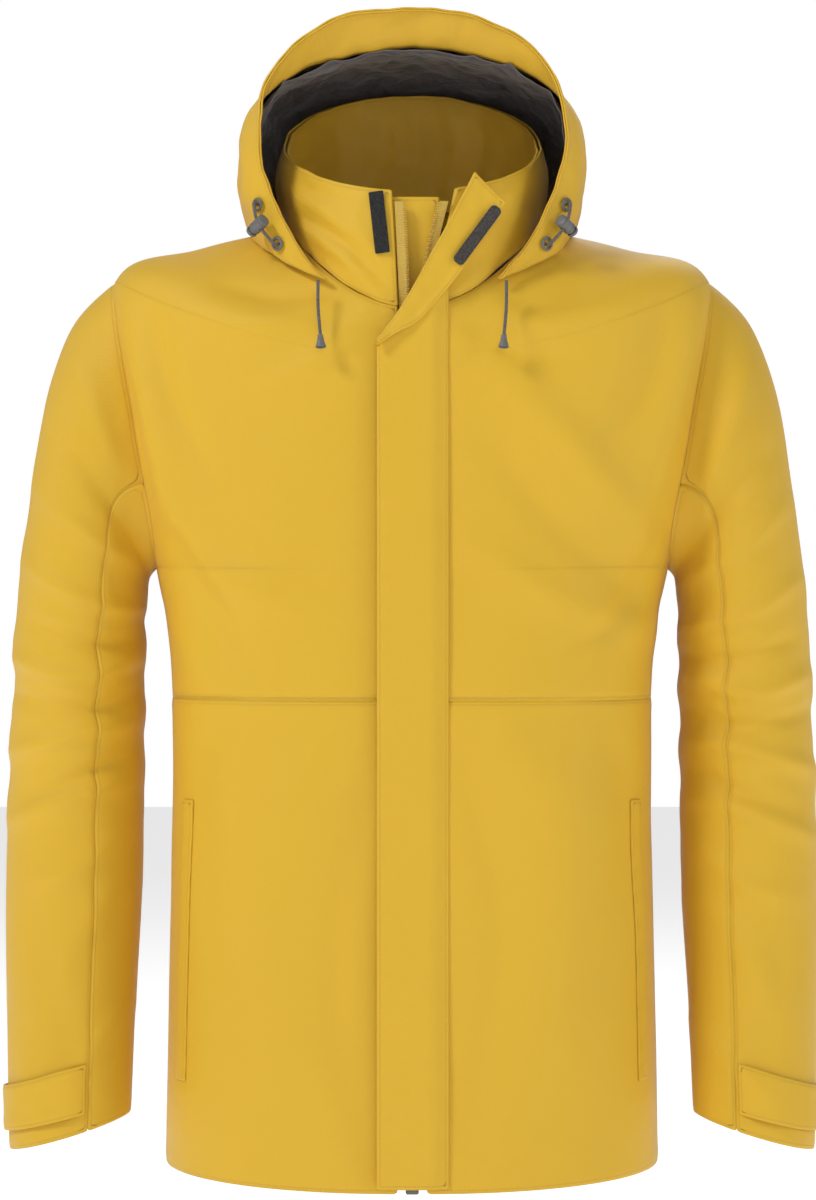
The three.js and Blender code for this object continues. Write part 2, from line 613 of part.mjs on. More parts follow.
// The collar's own hook patch, flat on the right side of the collar front.
const hookAngle = -Math.asin((openingRightTop + 9) / collar.halfWidth);
const hookFrame = frameOn(
  collarFace(hookAngle, 0.7).addScaledVector(normalOf(collarFace, hookAngle, 0.7), patch.gap + 0.9),
  normalOf(collarFace, hookAngle, 0.7), vec(0, 0, 1));
hookFrame.rotateY(-collarPatchLean * deg);
jacket.add(hookFrame);
addPiece("hook_patch_collar",
  roundedPlate(patch.width, patch.length, patch.thickness, 0.8, patch.thickness), hookTape, hookFrame);

// ---------------------------------------------------------------- hanger loop

const loopOuter = new THREE.Shape();
loopOuter.moveTo(-hanger.width / 2, 0);
loopOuter.lineTo(hanger.width / 2, 0);
loopOuter.lineTo(hanger.width / 2, hanger.height);
loopOuter.lineTo(-hanger.width / 2, hanger.height);
const loopHole = new THREE.Path();
const clear = hanger.width / 2 - hanger.band;
loopHole.moveTo(-clear, hanger.band / 2);
loopHole.lineTo(-clear, hanger.height - hanger.band / 2);
loopHole.lineTo(clear, hanger.height - hanger.band / 2);
loopHole.lineTo(clear, hanger.band / 2);
loopOuter.holes.push(loopHole);
const loopBand = new THREE.ExtrudeGeometry(loopOuter, { depth: hanger.band, bevelEnabled: false })
  .rotateX(Math.PI / 2);
const hangerY = collarFace(Math.PI, 0.1).y - hanger.inset;
addPiece("hanger_loop", loopBand, liningCloth).position.set(0, hangerY, hanger.level);

// ---------------------------------------------------------------- hood

const guides = [hoodEdge, hoodLow, hoodHigh, hoodCrown].map((g) => smooth(g.map((p) => vec(...p))));

// The outer face of the hood: along runs from 0 at the brim to 1 at the nape, and up from 0 at the
// left lower edge, over the crown at 1, to 2 at the right lower edge.
function hoodFace(along, up) {
  const t = THREE.MathUtils.clamp(along, 0, 1);
  const u = THREE.MathUtils.clamp(up <= 1 ? up : 2 - up, 0, 1);
  const p = new THREE.CubicBezierCurve3(...guides.map((g) => g.getPoint(t))).getPoint(u);
  if (up > 1) p.x *= -1;
  return p;
}

function hoodPanel([low, high], [near, far], layer, cells) {
  const place = (s, t) => [THREE.MathUtils.lerp(near, far, s), THREE.MathUtils.lerp(low, high, t)];
  return clothPanel(hoodFace, place, layer, cells);
}

const hoodGap = seamGap / 200;
const hoodEnd = 0.995;
addPiece("hood_centre",
  hoodPanel([hoodSeam + hoodGap, 2 - hoodSeam - hoodGap], [0, hoodEnd], shell, [10, 6]), shellCloth);
addPiece("hood_facing",
  hoodPanel([0.01, 1.99], [0.002, facingWidth], [-facingDepth, shellThickness], [2, 20]), shellCloth);
addPiece("hood_lining", hoodPanel(
  [0.02, 1.98], [facingWidth * 0.8, hoodEnd], [-hoodLiningDepth, liningThickness], [7, 16],
), liningCloth);

// ---------------------------------------------------------------- hood cords, locks and eyelets

// A plain round cord through a list of points.
function cord(points, steps) {
  const round = new THREE.Path().absarc(0, 0, cordRadius, 0, 2 * Math.PI).getPoints(8).slice(0, 8);
  return new THREE.ExtrudeGeometry(new THREE.Shape(round),
    { extrudePath: smooth(points), steps, bevelEnabled: false });
}

const eyeletRing = new THREE.LatheGeometry([
  [eyelet.inner, 0],
  [eyelet.outer, 0],
  [eyelet.outer - 1, eyelet.height],
  [eyelet.inner, eyelet.height],
  [eyelet.inner, 0],
].map(([r, y]) => new THREE.Vector2(r, y)), 12).rotateX(Math.PI).translate(0, -eyelet.gap, 0);

// The barrel of a cord lock along x, its mouth towards +x, with the cord's hole along z.
function lockBarrel() {
  const tube = (r, from, to, sides = 12) => solid(new THREE.CylinderGeometry(r, r, to - from, sides)
    .rotateZ(Math.PI / 2).translate((from + to) / 2, 0, 0));
  const half = lock.length / 2;
  const holeRadius = cordRadius + cordHole;
  const cordWay = () => new THREE.CylinderGeometry(holeRadius, holeRadius, 4 * lock.radius, 12)
    .rotateX(Math.PI / 2);
  const floor = -half + lock.floor;
  const barrel = tube(lock.radius, -half, half)
    .subtract(tube(lock.bore, floor, half + 1))
    .subtract(solid(cordWay()));
  const stem = tube(lock.bore - runningGap, floor + lock.travel + runningGap, half + lock.travel + 1);
  const head = tube(lock.headRadius, half + lock.travel + runningGap, half + lock.travel + lock.head);
  const slot = solid(cordWay().scale(1 + lock.travel / cordRadius, 1, 1));
  return [geometryOf(barrel), geometryOf(stem.add(head).subtract(slot))];
}

const up = vec(0, 0, 1);
for (const [side, word] of [[1, "left"], [-1, "right"]]) {
  const flip = (v) => vec(v.x * side, v.y, v.z);
  const rows = side > 0 ? [0, hoodSeam - hoodGap] : [2, 2 - hoodSeam + hoodGap];
  let panel = solid(hoodPanel(rows, [0, hoodEnd], shell, [8, 7]));
  const [upper, lower] = [upperEyelet, lowerEyelet].map((place) => {
    const point = flip(hoodFace(place.along, place.up));
    const out = flip(normalOf(hoodFace, place.along, place.up));
    const frame = frameOn(point, out, up);
    const hole = new THREE.CylinderGeometry(eyelet.inner + 0.4, eyelet.inner + 0.4, 10, 8);
    panel = panel.subtract(solid(hole, frame.matrix));
    jacket.add(frame);
    return { point, out, frame };
  });
  addPiece("hood_side_" + word, geometryOf(panel), shellCloth);
  addPiece("eyelet_upper_" + word, eyeletRing, greyPlastic, upper.frame);
  addPiece("eyelet_lower_" + word, eyeletRing, greyPlastic, lower.frame);

  const middle = upper.point.clone().lerp(lower.point, 0.5);
  const out = upper.out.clone().add(lower.out).normalize();
  const centre = middle.addScaledVector(out, lock.standOff);
  const along = upper.point.clone().sub(lower.point).normalize();
  const lockFrame = frameOn(centre, out, along);
  jacket.add(lockFrame);
  const [barrel, button] = lockBarrel();
  const turn = side > 0 ? 0 : Math.PI;
  addPiece("cord_lock_" + word, barrel, greyPlastic, lockFrame).rotation.z = turn;
  addPiece("lock_button_" + word, button, greyPlastic, lockFrame).rotation.z = turn;
  const run = vec(0, 0, 1).applyQuaternion(lockFrame.quaternion);
  const near = (end, far) => [
    end.point.clone().addScaledVector(end.out, -eyelet.inside),
    end.point.clone().addScaledVector(end.out, eyelet.height + 3),
    centre.clone().addScaledVector(run, far),
  ];
  const reach = lock.radius + 1;
  const route = [...near(upper, reach), centre, ...near(lower, -reach).reverse()];
  addPiece("hood_cord_" + word, cord(route, 14), greyCord);

  // The free end leaves the front corner of the hood's lower edge and hangs to its bell.
  const corner = flip(hoodFace(0.03, 0)).add(vec(0, -cordEnd.out, 0)).setZ(cordEnd.top);
  const foot = vec(corner.x - side * cordEnd.lean, corner.y - cordEnd.forward, corner.z - cordEnd.length);
  addPiece("cord_end_" + word, cord([corner, corner.clone().lerp(foot, 0.5), foot], 6), greyCord);
  const bellFrame = new THREE.Group();
  bellFrame.position.copy(foot);
  bellFrame.quaternion.setFromUnitVectors(vec(0, -1, 0), foot.clone().sub(corner).normalize());
  jacket.add(bellFrame);
  addPiece("cord_bell_" + word, new THREE.CylinderGeometry(bell.narrow, bell.wide, bell.length, 12)
    .translate(0, -bell.length / 2 - runningGap, 0), greyPlastic, bellFrame);
}

jacket.position.set(0, -hangerY + hanger.band / 2, -hanger.level - hanger.height + hanger.band / 2);

export default jacket;
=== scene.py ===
"""A hooded ski jacket in a yellow waterproof shell cloth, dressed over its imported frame.

Lengths are in millimetres above the hem's level until a mesh is made, and metres after that.
"""
import json
import math

import bpy
import numpy as np
from mathutils import Matrix, Vector, noise


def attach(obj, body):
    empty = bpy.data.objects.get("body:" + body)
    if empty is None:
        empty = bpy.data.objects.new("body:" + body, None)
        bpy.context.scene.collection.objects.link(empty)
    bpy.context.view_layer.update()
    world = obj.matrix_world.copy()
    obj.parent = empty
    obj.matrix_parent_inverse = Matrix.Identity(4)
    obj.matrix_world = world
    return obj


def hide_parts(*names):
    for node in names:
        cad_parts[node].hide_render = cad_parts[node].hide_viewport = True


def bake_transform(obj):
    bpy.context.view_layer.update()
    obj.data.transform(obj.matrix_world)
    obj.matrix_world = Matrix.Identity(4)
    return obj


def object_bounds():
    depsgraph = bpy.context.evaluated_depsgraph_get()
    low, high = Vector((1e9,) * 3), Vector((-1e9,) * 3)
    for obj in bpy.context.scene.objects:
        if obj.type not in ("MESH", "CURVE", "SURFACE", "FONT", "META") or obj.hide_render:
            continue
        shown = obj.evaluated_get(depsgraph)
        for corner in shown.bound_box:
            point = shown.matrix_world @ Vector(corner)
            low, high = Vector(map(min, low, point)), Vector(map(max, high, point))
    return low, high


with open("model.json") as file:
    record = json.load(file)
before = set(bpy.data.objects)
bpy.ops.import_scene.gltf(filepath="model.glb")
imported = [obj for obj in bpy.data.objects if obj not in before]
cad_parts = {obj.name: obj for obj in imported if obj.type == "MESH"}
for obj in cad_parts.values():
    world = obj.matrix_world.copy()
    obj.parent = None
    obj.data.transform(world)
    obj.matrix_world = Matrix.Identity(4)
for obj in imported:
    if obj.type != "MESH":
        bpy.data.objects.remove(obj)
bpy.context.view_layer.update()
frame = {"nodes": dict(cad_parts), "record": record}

MM = 0.001
LOOP = np.array([0.0, 72.9, 804.5])  # the hanger loop's resting face, from the middle of the hem


def to_frame(points):
    """Points in millimetres above the hem, as metres in the frame."""
    return (np.asarray(points, float) - LOOP) * MM


# ------------------------------------------------------------ the jacket's pattern

# half width, back depth, side height, dip at the front, rise at the back, squareness
RINGS = [(196, 126, 34, 8, -20, 2.7), (191, 116, 400, 0, 0, 2.7), (204, 126, 503, 2, 2, 2.7),
         (233, 132, 612, 20, 6, 2.7), (237, 112, 731, 66, 12, 2.6), (171, 97, 757, 72, 20, 2.4),
         (102, 86, 773, 71, 26, 2.3)]
HEM, WAIST, ARMPIT, BLADE, TIP, NECK = 0, 1, 2, 3, 4, 6
SIDE_LINE = 4
FRONT_AT_HEM, HEM_FRONT, FRONT_SLOPE = 141, 26, 22 / 676
ARMHOLE_SPREAD = math.radians(21)
OPENING = 11  # half width of the front opening under the storm flap

SLEEVE_OUTER = [(237, 731), (268, 702), (292, 640), (306, 552), (316, 470), (321, 360), (324, 240),
                (321, 130), (318, 46)]
SLEEVE_INNER = [(206, 503), (210, 496), (213, 484), (214, 466), (214, 432), (215, 350), (216, 240),
                (220, 150), (222, 74)]
SLEEVE_DEPTH = [(66, 4), (72, 4), (74, 4), (73, 5), (71, 6), (65, 6), (60, -4), (56, -20), (54, -34)]

COLLAR = {"half": 104, "front": 115, "back": 80, "side": 836, "dip": 44, "rise": 56, "square": 2.2,
          "bulge": 6, "right": 16, "left": 34}

HOOD_EDGE = [(67, -114, 723), (108, -84, 744), (131, -10, 772), (100, 80, 783), (32, 108, 779)]
HOOD_LOW = [(122, -95, 771), (142, -60, 788), (148, 20, 815), (118, 100, 815), (40, 114, 786)]
HOOD_HIGH = [(180, -60, 930), (178, -25, 917), (140, 70, 930), (85, 135, 885), (30, 118, 794)]
HOOD_CROWN = [(0, -60, 933), (0, -15, 941), (0, 60, 935), (0, 135, 880), (0, 114, 792)]
HOOD_SEAM, FACING = 0.72, 0.13
UPPER_EYELET, LOWER_EYELET = (0.12, 0.26), (0.12, 0.12)
POCKET = {"angle": 68, "bottom": 112, "top": 314, "welt": 17}

SHELL, LINING = 1.3, 0.8  # cloth thicknesses
UPPER_ROWS, ARMHOLE_ROWS = 69, (15, 55)  # rows of the upper body, and those along the armhole
LOWER_ROWS, FRONT_COLUMNS, BACK_COLUMNS, SLEEVE_ROWS = 66, 50, 96, 124
SLEEVE_COLUMNS = 2 * (ARMHOLE_ROWS[1] - ARMHOLE_ROWS[0])
SLEEVE_SEAM = math.radians(112.5)


def mix(a, b, t):
    return a + (b - a) * t


def smoothstep(t, low=0.0, high=1.0):
    t = np.clip((t - low) / (high - low), 0, 1)
    return t * t * (3 - 2 * t)


def spline(points, t):
    """A smooth curve through points, for t from 0 to 1."""
    p = np.asarray(points, float)
    p = np.vstack([2 * p[0] - p[1], p, 2 * p[-1] - p[-2]])
    x = np.clip(t, 0, 1) * (len(p) - 3)
    i = np.minimum(np.asarray(x).astype(int), len(p) - 4)
    w = np.asarray(x - i)[..., None]
    a, b, c, d = p[i], p[i + 1], p[i + 2], p[i + 3]
    return b + w * (c - a) / 2 + w**2 * (a - 2.5 * b + 2 * c - d / 2) + w**3 * (1.5 * (b - c) + (d - a) / 2)


def oval(s, square):
    return np.maximum(0, 1 - np.abs(s) ** square) ** (1 / square)


def body(angle, ring):
    """The body's outer face. angle is 0 at the front and a quarter turn at the wearer's left."""
    half, back, height, dip, rise, square = np.moveaxis(spline(RINGS, np.asarray(ring) / NECK), -1, 0)
    s, c = np.sin(angle), np.cos(angle)
    front = FRONT_AT_HEM - FRONT_SLOPE * (height - dip - HEM_FRONT) + SIDE_LINE
    reach = np.where(c > 0, -front, back - SIDE_LINE)
    level = np.where(c > 0, -dip, rise)
    return np.stack([half * s, SIDE_LINE + reach * oval(s, square), height + level * c * c], -1)


def sleeve(angle, along):
    """The left sleeve's outer face, from the armhole to the cuff. angle is 0 on its outer line."""
    outer, inner, depth = (spline(p, along) for p in (SLEEVE_OUTER, SLEEVE_INNER, SLEEVE_DEPTH))
    line = (outer + inner) / 2 + (outer - inner) / 2 * np.cos(angle)[..., None]
    tube = np.stack([line[..., 0], depth[..., 1] - depth[..., 0] * np.sin(angle), line[..., 1]], -1)
    hole = body(np.pi / 2 - ARMHOLE_SPREAD * np.sin(angle), BLADE + np.cos(angle))
    return mix(hole, tube, smoothstep(along, 0, 0.14)[..., None])


def collar(angle, height):
    s, c = np.sin(angle), np.cos(angle)
    base = body(angle, np.full_like(s, NECK))
    reach = np.where(c > 0, -(COLLAR["front"] + SIDE_LINE), COLLAR["back"] - SIDE_LINE)
    rim = COLLAR["side"] + (COLLAR["rise"] - COLLAR["dip"]) / 2 - (COLLAR["rise"] + COLLAR["dip"]) / 2 * c
    top = np.stack([COLLAR["half"] * s, SIDE_LINE + reach * oval(s, COLLAR["square"]), rim], -1)
    swell = COLLAR["bulge"] * s * s * 4 * height * (1 - height)
    out = np.stack([s, -c, 0 * s], -1) * swell[..., None]
    return mix(base, top, height[..., None]) + out


def hood(along, up):
    """The hood's outer face: along from brim to nape, up from the left edge over the crown (1) to 2."""
    u = np.where(up <= 1, up, 2 - up)[..., None]
    e, low, high, crown = (spline(g, along) for g in (HOOD_EDGE, HOOD_LOW, HOOD_HIGH, HOOD_CROWN))
    p = (1 - u)**3 * e + 3 * u * (1 - u)**2 * low + 3 * u**2 * (1 - u) * high + u**3 * crown
    brim = smoothstep(u[..., 0], 0.45, 0.95)
    p[..., 2] += brim * (10 - 30 * smoothstep(along, 0.0, 0.12) + 9 * smoothstep(along, 0.3, 0.8))
    p[..., 0] *= np.where(up > 1, -1, 1)
    return p


def evenly(measure, count=1200):
    """A function that spaces its numbers evenly along a line, given as points for 0 to 1."""
    t = np.linspace(0, 1, count)
    run = np.r_[0, np.cumsum(np.linalg.norm(np.diff(measure(t), axis=0), axis=1))]
    return (lambda x: np.interp(x, t, run)), (lambda r: np.interp(r, run, t))


ROUND = evenly(lambda t: body(2 * np.pi * t, np.full_like(t, 1.5)), 4000)
DOWN_SLEEVE = evenly(lambda t: (spline(SLEEVE_OUTER, t) + spline(SLEEVE_INNER, t)) / 2)


def round_body(start, end, s):
    """The angle a share s of the way from one angle to another, by length of cloth."""
    length, share = ROUND
    return 2 * np.pi * share(mix(length(start / 2 / np.pi), length(end / 2 / np.pi), s))


def side_edge(ring):
    q = np.clip(ring - BLADE, -1, 1)
    return np.pi / 2 - ARMHOLE_SPREAD * np.sqrt(1 - q * q)


def upper_ring(t):
    row = t * UPPER_ROWS
    low, high = ARMHOLE_ROWS
    arm = BLADE - np.cos(np.pi * np.clip((row - low) / (high - low), 0, 1))
    top = mix(TIP, NECK, (row - high) / (UPPER_ROWS - high))
    return np.where(row < low, mix(WAIST, ARMPIT, row / low), np.where(row > high, top, arm))


def opening(ring):
    return np.arcsin(OPENING / spline(RINGS, ring / NECK)[..., 0])


def front_upper(s, t):
    ring = upper_ring(t)
    return round_body(opening(ring), side_edge(ring), s), ring


def front_lower(s, t):
    return round_body(opening(t * WAIST), np.pi / 2, s), t * WAIST


def back_upper(s, t):
    ring = upper_ring(t)
    return round_body(np.pi - side_edge(ring), np.pi + side_edge(ring), s), ring


def back_lower(s, t):
    return round_body(np.pi / 2, 1.5 * np.pi, s), t * WAIST


def down_sleeve(t):
    length, share = DOWN_SLEEVE
    return share(t * length(1.0))


def mirrored(place):
    """A surface or a plan turned to the wearer's right."""
    return lambda a, b: place(a, b) * np.array([-1, 1, 1])


# ------------------------------------------------------------ cloth

class Panel:
    """A cut piece of cloth: a grid of places on a surface, s across and t along."""

    def __init__(self, name, surface, plan, columns, rows, flip=False):
        self.name = name
        self.shape = (rows + 1, columns + 1)
        t, s = np.meshgrid(np.linspace(0, 1, rows + 1), np.linspace(0, 1, columns + 1), indexing="ij")
        self.points = surface(*plan(s, t))
        self.flip = flip
        self.outward = None

    def normals(self):
        across = np.gradient(self.points, axis=1)
        along = np.gradient(self.points, axis=0)
        n = np.cross(across, along) * (-1 if self.flip else 1)
        return n / np.maximum(np.linalg.norm(n, axis=2, keepdims=True), 1e-9)

    def runs(self):
        """Distances along the cloth from its left edge and its lower edge."""
        across = np.linalg.norm(np.diff(self.points, axis=1), axis=2)
        along = np.linalg.norm(np.diff(self.points, axis=0), axis=2)
        zero = np.zeros
        left = np.concatenate([zero((self.shape[0], 1)), np.cumsum(across, 1)], 1)
        low = np.concatenate([zero((1, self.shape[1])), np.cumsum(along, 0)], 0)
        return left, low

    def seams(self, sewn):
        """Distance to the nearest sewn edge, and the place along it. sewn holds any of l, r, b, t."""
        left, low = self.runs()
        away = {"l": (left, low), "r": (left[:, -1:] - left, low),
                "b": (low, left), "t": (low[-1:] - low, left)}
        gap = np.full(self.shape, 99.0)
        run = np.zeros(self.shape)
        for edge in sewn:
            distance, place = away[edge]
            run = np.where(distance < gap, place, run)
            gap = np.minimum(gap, distance)
        return gap, run

    def make(self, sewn="", thickness=SHELL, depth=0.0, groove=0.45):
        """The panel as a mesh, with its seams drawn in and its own thickness."""
        gap, run = self.seams(sewn)
        drawn = groove * (0.4 * np.exp(-((gap - 6) / 4) ** 2) - np.exp(-(gap / 2.2) ** 2))
        pucker = 0.28 * np.sin(run / 4.1 + 2 * np.sin(run / 23))
        pucker = pucker * np.exp(-((gap - 6) / 6) ** 2) * (gap < 90)
        normals = self.normals() if self.outward is None else self.outward
        points = self.points + normals * (drawn + pucker - depth)[..., None]
        rows, columns = self.shape[0] - 1, self.shape[1] - 1
        bpy.ops.object.select_all(action="DESELECT")
        bpy.ops.mesh.primitive_grid_add(x_subdivisions=columns, y_subdivisions=rows, size=1)
        piece = bpy.context.object
        piece.name = piece.data.name = self.name
        mesh = piece.data
        flat = np.empty(len(mesh.vertices) * 3)
        mesh.vertices.foreach_get("co", flat)
        flat = flat.reshape(-1, 3)
        i = np.rint((flat[:, 1] + 0.5) * rows).astype(int)
        j = np.rint((flat[:, 0] + 0.5) * columns).astype(int)
        mesh.vertices.foreach_set("co", to_frame(points)[i, j].ravel())
        left, low = self.runs()
        for word, grid in (("seam", gap), ("run", run)):
            attribute = mesh.attributes.new(word, "FLOAT", "POINT")
            attribute.data.foreach_set("value", grid[i, j].astype(np.float32))
        corners = np.empty(len(mesh.loops), int)
        mesh.loops.foreach_get("vertex_index", corners)
        uv = np.stack([left[i, j], low[i, j]], -1)[corners] * MM
        mesh.uv_layers.active.name = "cloth"
        mesh.uv_layers["cloth"].data.foreach_set("uv", uv.ravel())
        if self.flip:
            mesh.flip_normals()
        add_modifier(piece, "SUBSURF", levels=1, render_levels=1)
        add_modifier(piece, "SOLIDIFY", thickness=thickness * MM, offset=-1)
        bpy.ops.object.shade_smooth()
        return piece


def add_modifier(piece, kind, **settings):
    """Adds a modifier and applies it."""
    bpy.context.view_layer.objects.active = piece
    modifier = piece.modifiers.new(kind.lower(), kind)
    for word, value in settings.items():
        setattr(modifier, word, value)
    bpy.ops.object.modifier_apply(modifier=modifier.name)


def soft_noise(points, size, seed):
    """Smooth noise from about -1 to 1 at each point, for lumps of about the given size."""
    flat = points.reshape(-1, 3) / size + seed * 7.3
    values = [noise.noise(Vector(p)) for p in flat]
    return np.array(values).reshape(points.shape[:-1])


def accumulate(pairs, pushes, count):
    """Sums the pushes on each point: forward at the first of a pair and back at the second."""
    first, second = pairs
    sums = [np.bincount(first, pushes[:, k], count) - np.bincount(second, pushes[:, k], count)
            for k in range(3)]
    return np.stack(sums, -1)


def ease_cloth(panels, steps=150):
    """Relaxes the sewn-up cloth, which is cut a little longer than its shape and so buckles."""
    base = np.concatenate([p.base.reshape(-1, 3) for p in panels])
    keys, place = np.unique(np.rint(base * SEWN_STEPS).astype(int), axis=0, return_inverse=True)
    place, count = place.ravel(), len(keys)
    shares = np.bincount(place, minlength=count)[:, None]

    def joined(word):
        values = np.concatenate([getattr(p, word).reshape(-1, 3) for p in panels])
        return np.stack([np.bincount(place, values[:, k], count) for k in range(3)], -1) / shares

    rest, x, out = joined("base"), joined("points"), joined("outward")
    out /= np.linalg.norm(out, axis=1, keepdims=True)
    hold = np.zeros(count)
    np.maximum.at(hold, place, np.concatenate([p.hold.ravel() for p in panels]))
    links = []
    start = 0
    for p in panels:
        size = p.shape[0] * p.shape[1]
        index = place[start:start + size].reshape(p.shape)
        start += size
        for down, over, stiff, bends in REACHES:
            rows, columns = p.shape
            here = index[:rows - down, max(0, -over):columns - max(0, over)]
            there = index[down:, max(0, over):columns + min(0, over)]
            extra = p.slack[:rows - down, max(0, -over):columns - max(0, over)] * (1 if down else 0.25)
            links.append(np.stack([here.ravel(), there.ravel(), np.full(here.size, stiff),
                                   np.full(here.size, bends), extra.ravel()], -1))
    links = np.concatenate(links)
    pairs = links[:, 0].astype(int), links[:, 1].astype(int)
    stiff, bends = links[:, 2], links[:, 3]
    straight = np.linalg.norm(rest[pairs[1]] - rest[pairs[0]], axis=1)
    want = straight * (1 + links[:, 4]) * (1 - 0.03 * bends)
    load = np.bincount(pairs[0], stiff, count) + np.bincount(pairs[1], stiff, count)
    for step in range(steps):
        gap = x[pairs[1]] - x[pairs[0]]
        length = np.maximum(np.linalg.norm(gap, axis=1), 1e-6)
        stretch = length - want
        stretch[(bends > 0) & (stretch > 0)] = 0
        x = x + 1.3 * accumulate(pairs, gap * (stiff * stretch / length)[:, None], count) / load[:, None]
        x = x + (rest - x) * np.maximum(hold, 0.004)[:, None]
    shift = x - rest
    near = (bends == 0) & (straight > 0)
    ends = pairs[0][near], pairs[1][near]
    weight = 1 / (straight[near] + 0.5)
    total = np.bincount(ends[0], weight, count) + np.bincount(ends[1], weight, count)
    for step in range(5):
        pull = (shift[ends[1]] - shift[ends[0]]) * weight[:, None]
        shift = shift + 0.7 * accumulate(ends, pull, count) / total[:, None]
    lift = (shift * out).sum(1)
    shift += (np.clip(lift, -DEEPEST_FOLD, HIGHEST_FOLD) - lift)[:, None] * out
    start = 0
    for p in panels:
        size = p.shape[0] * p.shape[1]
        own = place[start:start + size]
        p.points = p.base + shift[own].reshape(*p.shape, 3)
        p.outward = out[own].reshape(*p.shape, 3)
        start += size


SEWN_STEPS = 50  # steps in a millimetre; points of two panels on the same step are sewn together
# Links between the threads: cells down, cells across, stiffness and whether it only resists bending.
REACHES = ((1, 0, 1, 0), (0, 1, 1, 0), (1, 1, 0.5, 0), (1, -1, 0.5, 0), (5, 0, 0.3, 1), (0, 5, 0.3, 1))
DEEPEST_FOLD, HIGHEST_FOLD = 4.5, 8.0  # millimetres in and out of the cut shape


# ------------------------------------------------------------ materials

class Value:
    """A number on a socket, for sums written as expressions."""

    def __init__(self, shade, socket):
        self.shade, self.socket = shade, socket

    def math(self, operation, *others):
        return self.shade.node("Math", {"operation": operation}, self, *others)

    def __add__(self, other):
        return self.math("ADD", other)

    def __sub__(self, other):
        return self.math("SUBTRACT", other)

    def __rsub__(self, other):
        return self.shade.node("Math", {"operation": "SUBTRACT"}, other, self)

    def __mul__(self, other):
        return self.math("MULTIPLY", other)

    def __truediv__(self, other):
        return self.math("DIVIDE", other)

    def __lt__(self, other):
        return self.math("LESS_THAN", other)

    __radd__ = __add__


class Shade:
    """A material under construction."""

    def __init__(self, name, **uniform):
        self.material = bpy.data.materials.new(name)
        self.material.use_nodes = True
        self.tree = self.material.node_tree
        self.surface = self.tree.nodes["Principled BSDF"]
        for word, value in uniform.items():
            self.surface.inputs[word.replace("_", " ")].default_value = value

    def node(self, kind, settings, *values, out=0, **named):
        made = self.tree.nodes.new("ShaderNode" + kind)
        for word, value in settings.items():
            setattr(made, word, value)
        for key, value in list(enumerate(values)) + [(k.replace("_", " "), v) for k, v in named.items()]:
            self.put(value, made.inputs[key])
        return Value(self, made.outputs[out])

    def put(self, value, socket):
        if isinstance(value, Value):
            self.tree.links.new(value.socket, socket)
        else:
            socket.default_value = value

    def set(self, **sockets):
        for word, value in sockets.items():
            self.put(value, self.surface.inputs[word.replace("_", " ")])
        return self.material

    def attribute(self, name):
        return self.node("Attribute", {"attribute_name": name}, out="Fac")

    def place(self):
        return self.node("TexCoord", {}, out="Object")

    def lumps(self, scale, detail=2.0, **more):
        return self.node("TexNoise", {}, Vector=self.place(), Scale=scale, Detail=detail, **more)

    def blend(self, share, first, second):
        made = self.tree.nodes.new("ShaderNodeMix")
        made.data_type = "RGBA"
        self.put(share, made.inputs[0])
        self.put(first, made.inputs[6])
        self.put(second, made.inputs[7])
        return Value(self, made.outputs[2])

    def relief(self, height, distance):
        return self.node("Bump", {}, Strength=1.0, Distance=distance, Height=height)


def woven(shade, pitch):
    """Threads over and under each other, from 0 to 1, in a plain weave of the given pitch in metres."""
    uv = shade.node("UVMap", {"uv_map": "cloth"})
    turn = 2 * math.pi / pitch
    parts = shade.tree.nodes.new("ShaderNodeSeparateXYZ")
    shade.tree.links.new(uv.socket, parts.inputs[0])
    u, v = (Value(shade, parts.outputs[i]) for i in (0, 1))
    return (u * turn).math("SINE") * (v * turn).math("SINE") * 0.5 + 0.5


def stitches(shade, inset=2.6, pitch=3.4, width=0.45):
    """1 on each thread of a line of stitching that keeps to its distance from a sewn edge."""
    gap, run = shade.attribute("seam"), shade.attribute("run")
    line = (gap - inset).math("ABSOLUTE") < width
    dash = (run / pitch).math("FRACT") < 0.74
    return line * dash


def shell_cloth(name="shell_cloth", colour=(0.775, 0.475, 0.028, 1), thread=(0.70, 0.41, 0.03, 1)):
    shade = Shade(name, Roughness=0.5, Sheen_Weight=0.12, Sheen_Roughness=0.4, Specular_IOR_Level=0.35)
    sewn = stitches(shade)
    drift = shade.lumps(5.0, 3.0)
    tone_and_shade_colour = tuple(c * k for c, k in zip(colour[:3], (0.93, 0.90, 0.8))) + (1,)
    tint = shade.blend(drift * 0.8 + 0.05, colour, tone_and_shade_colour)
    # Painted shade: within 0.9 mm of a sewn edge the colour goes a fifth of the way to the deeper tone, for
    # the shade in the seam's groove.
    seam_shade = shade.attribute("seam") < 0.9
    tint = shade.blend(seam_shade * 0.2, tint, tone_and_shade_colour)
    grain = woven(shade, 0.0011)
    slub = shade.lumps(900.0, 1.0)
    height = grain * 0.4 + slub * 0.3 + shade.lumps(60.0, 2.0) * 0.8 + sewn * 2.5
    return shade.set(Base_Color=shade.blend(sewn * 0.8, tint, thread),
                     Roughness=shade.lumps(40.0, 2.0) * 0.16 + 0.42 + grain * 0.05,
                     Normal=shade.relief(height, 0.00022))


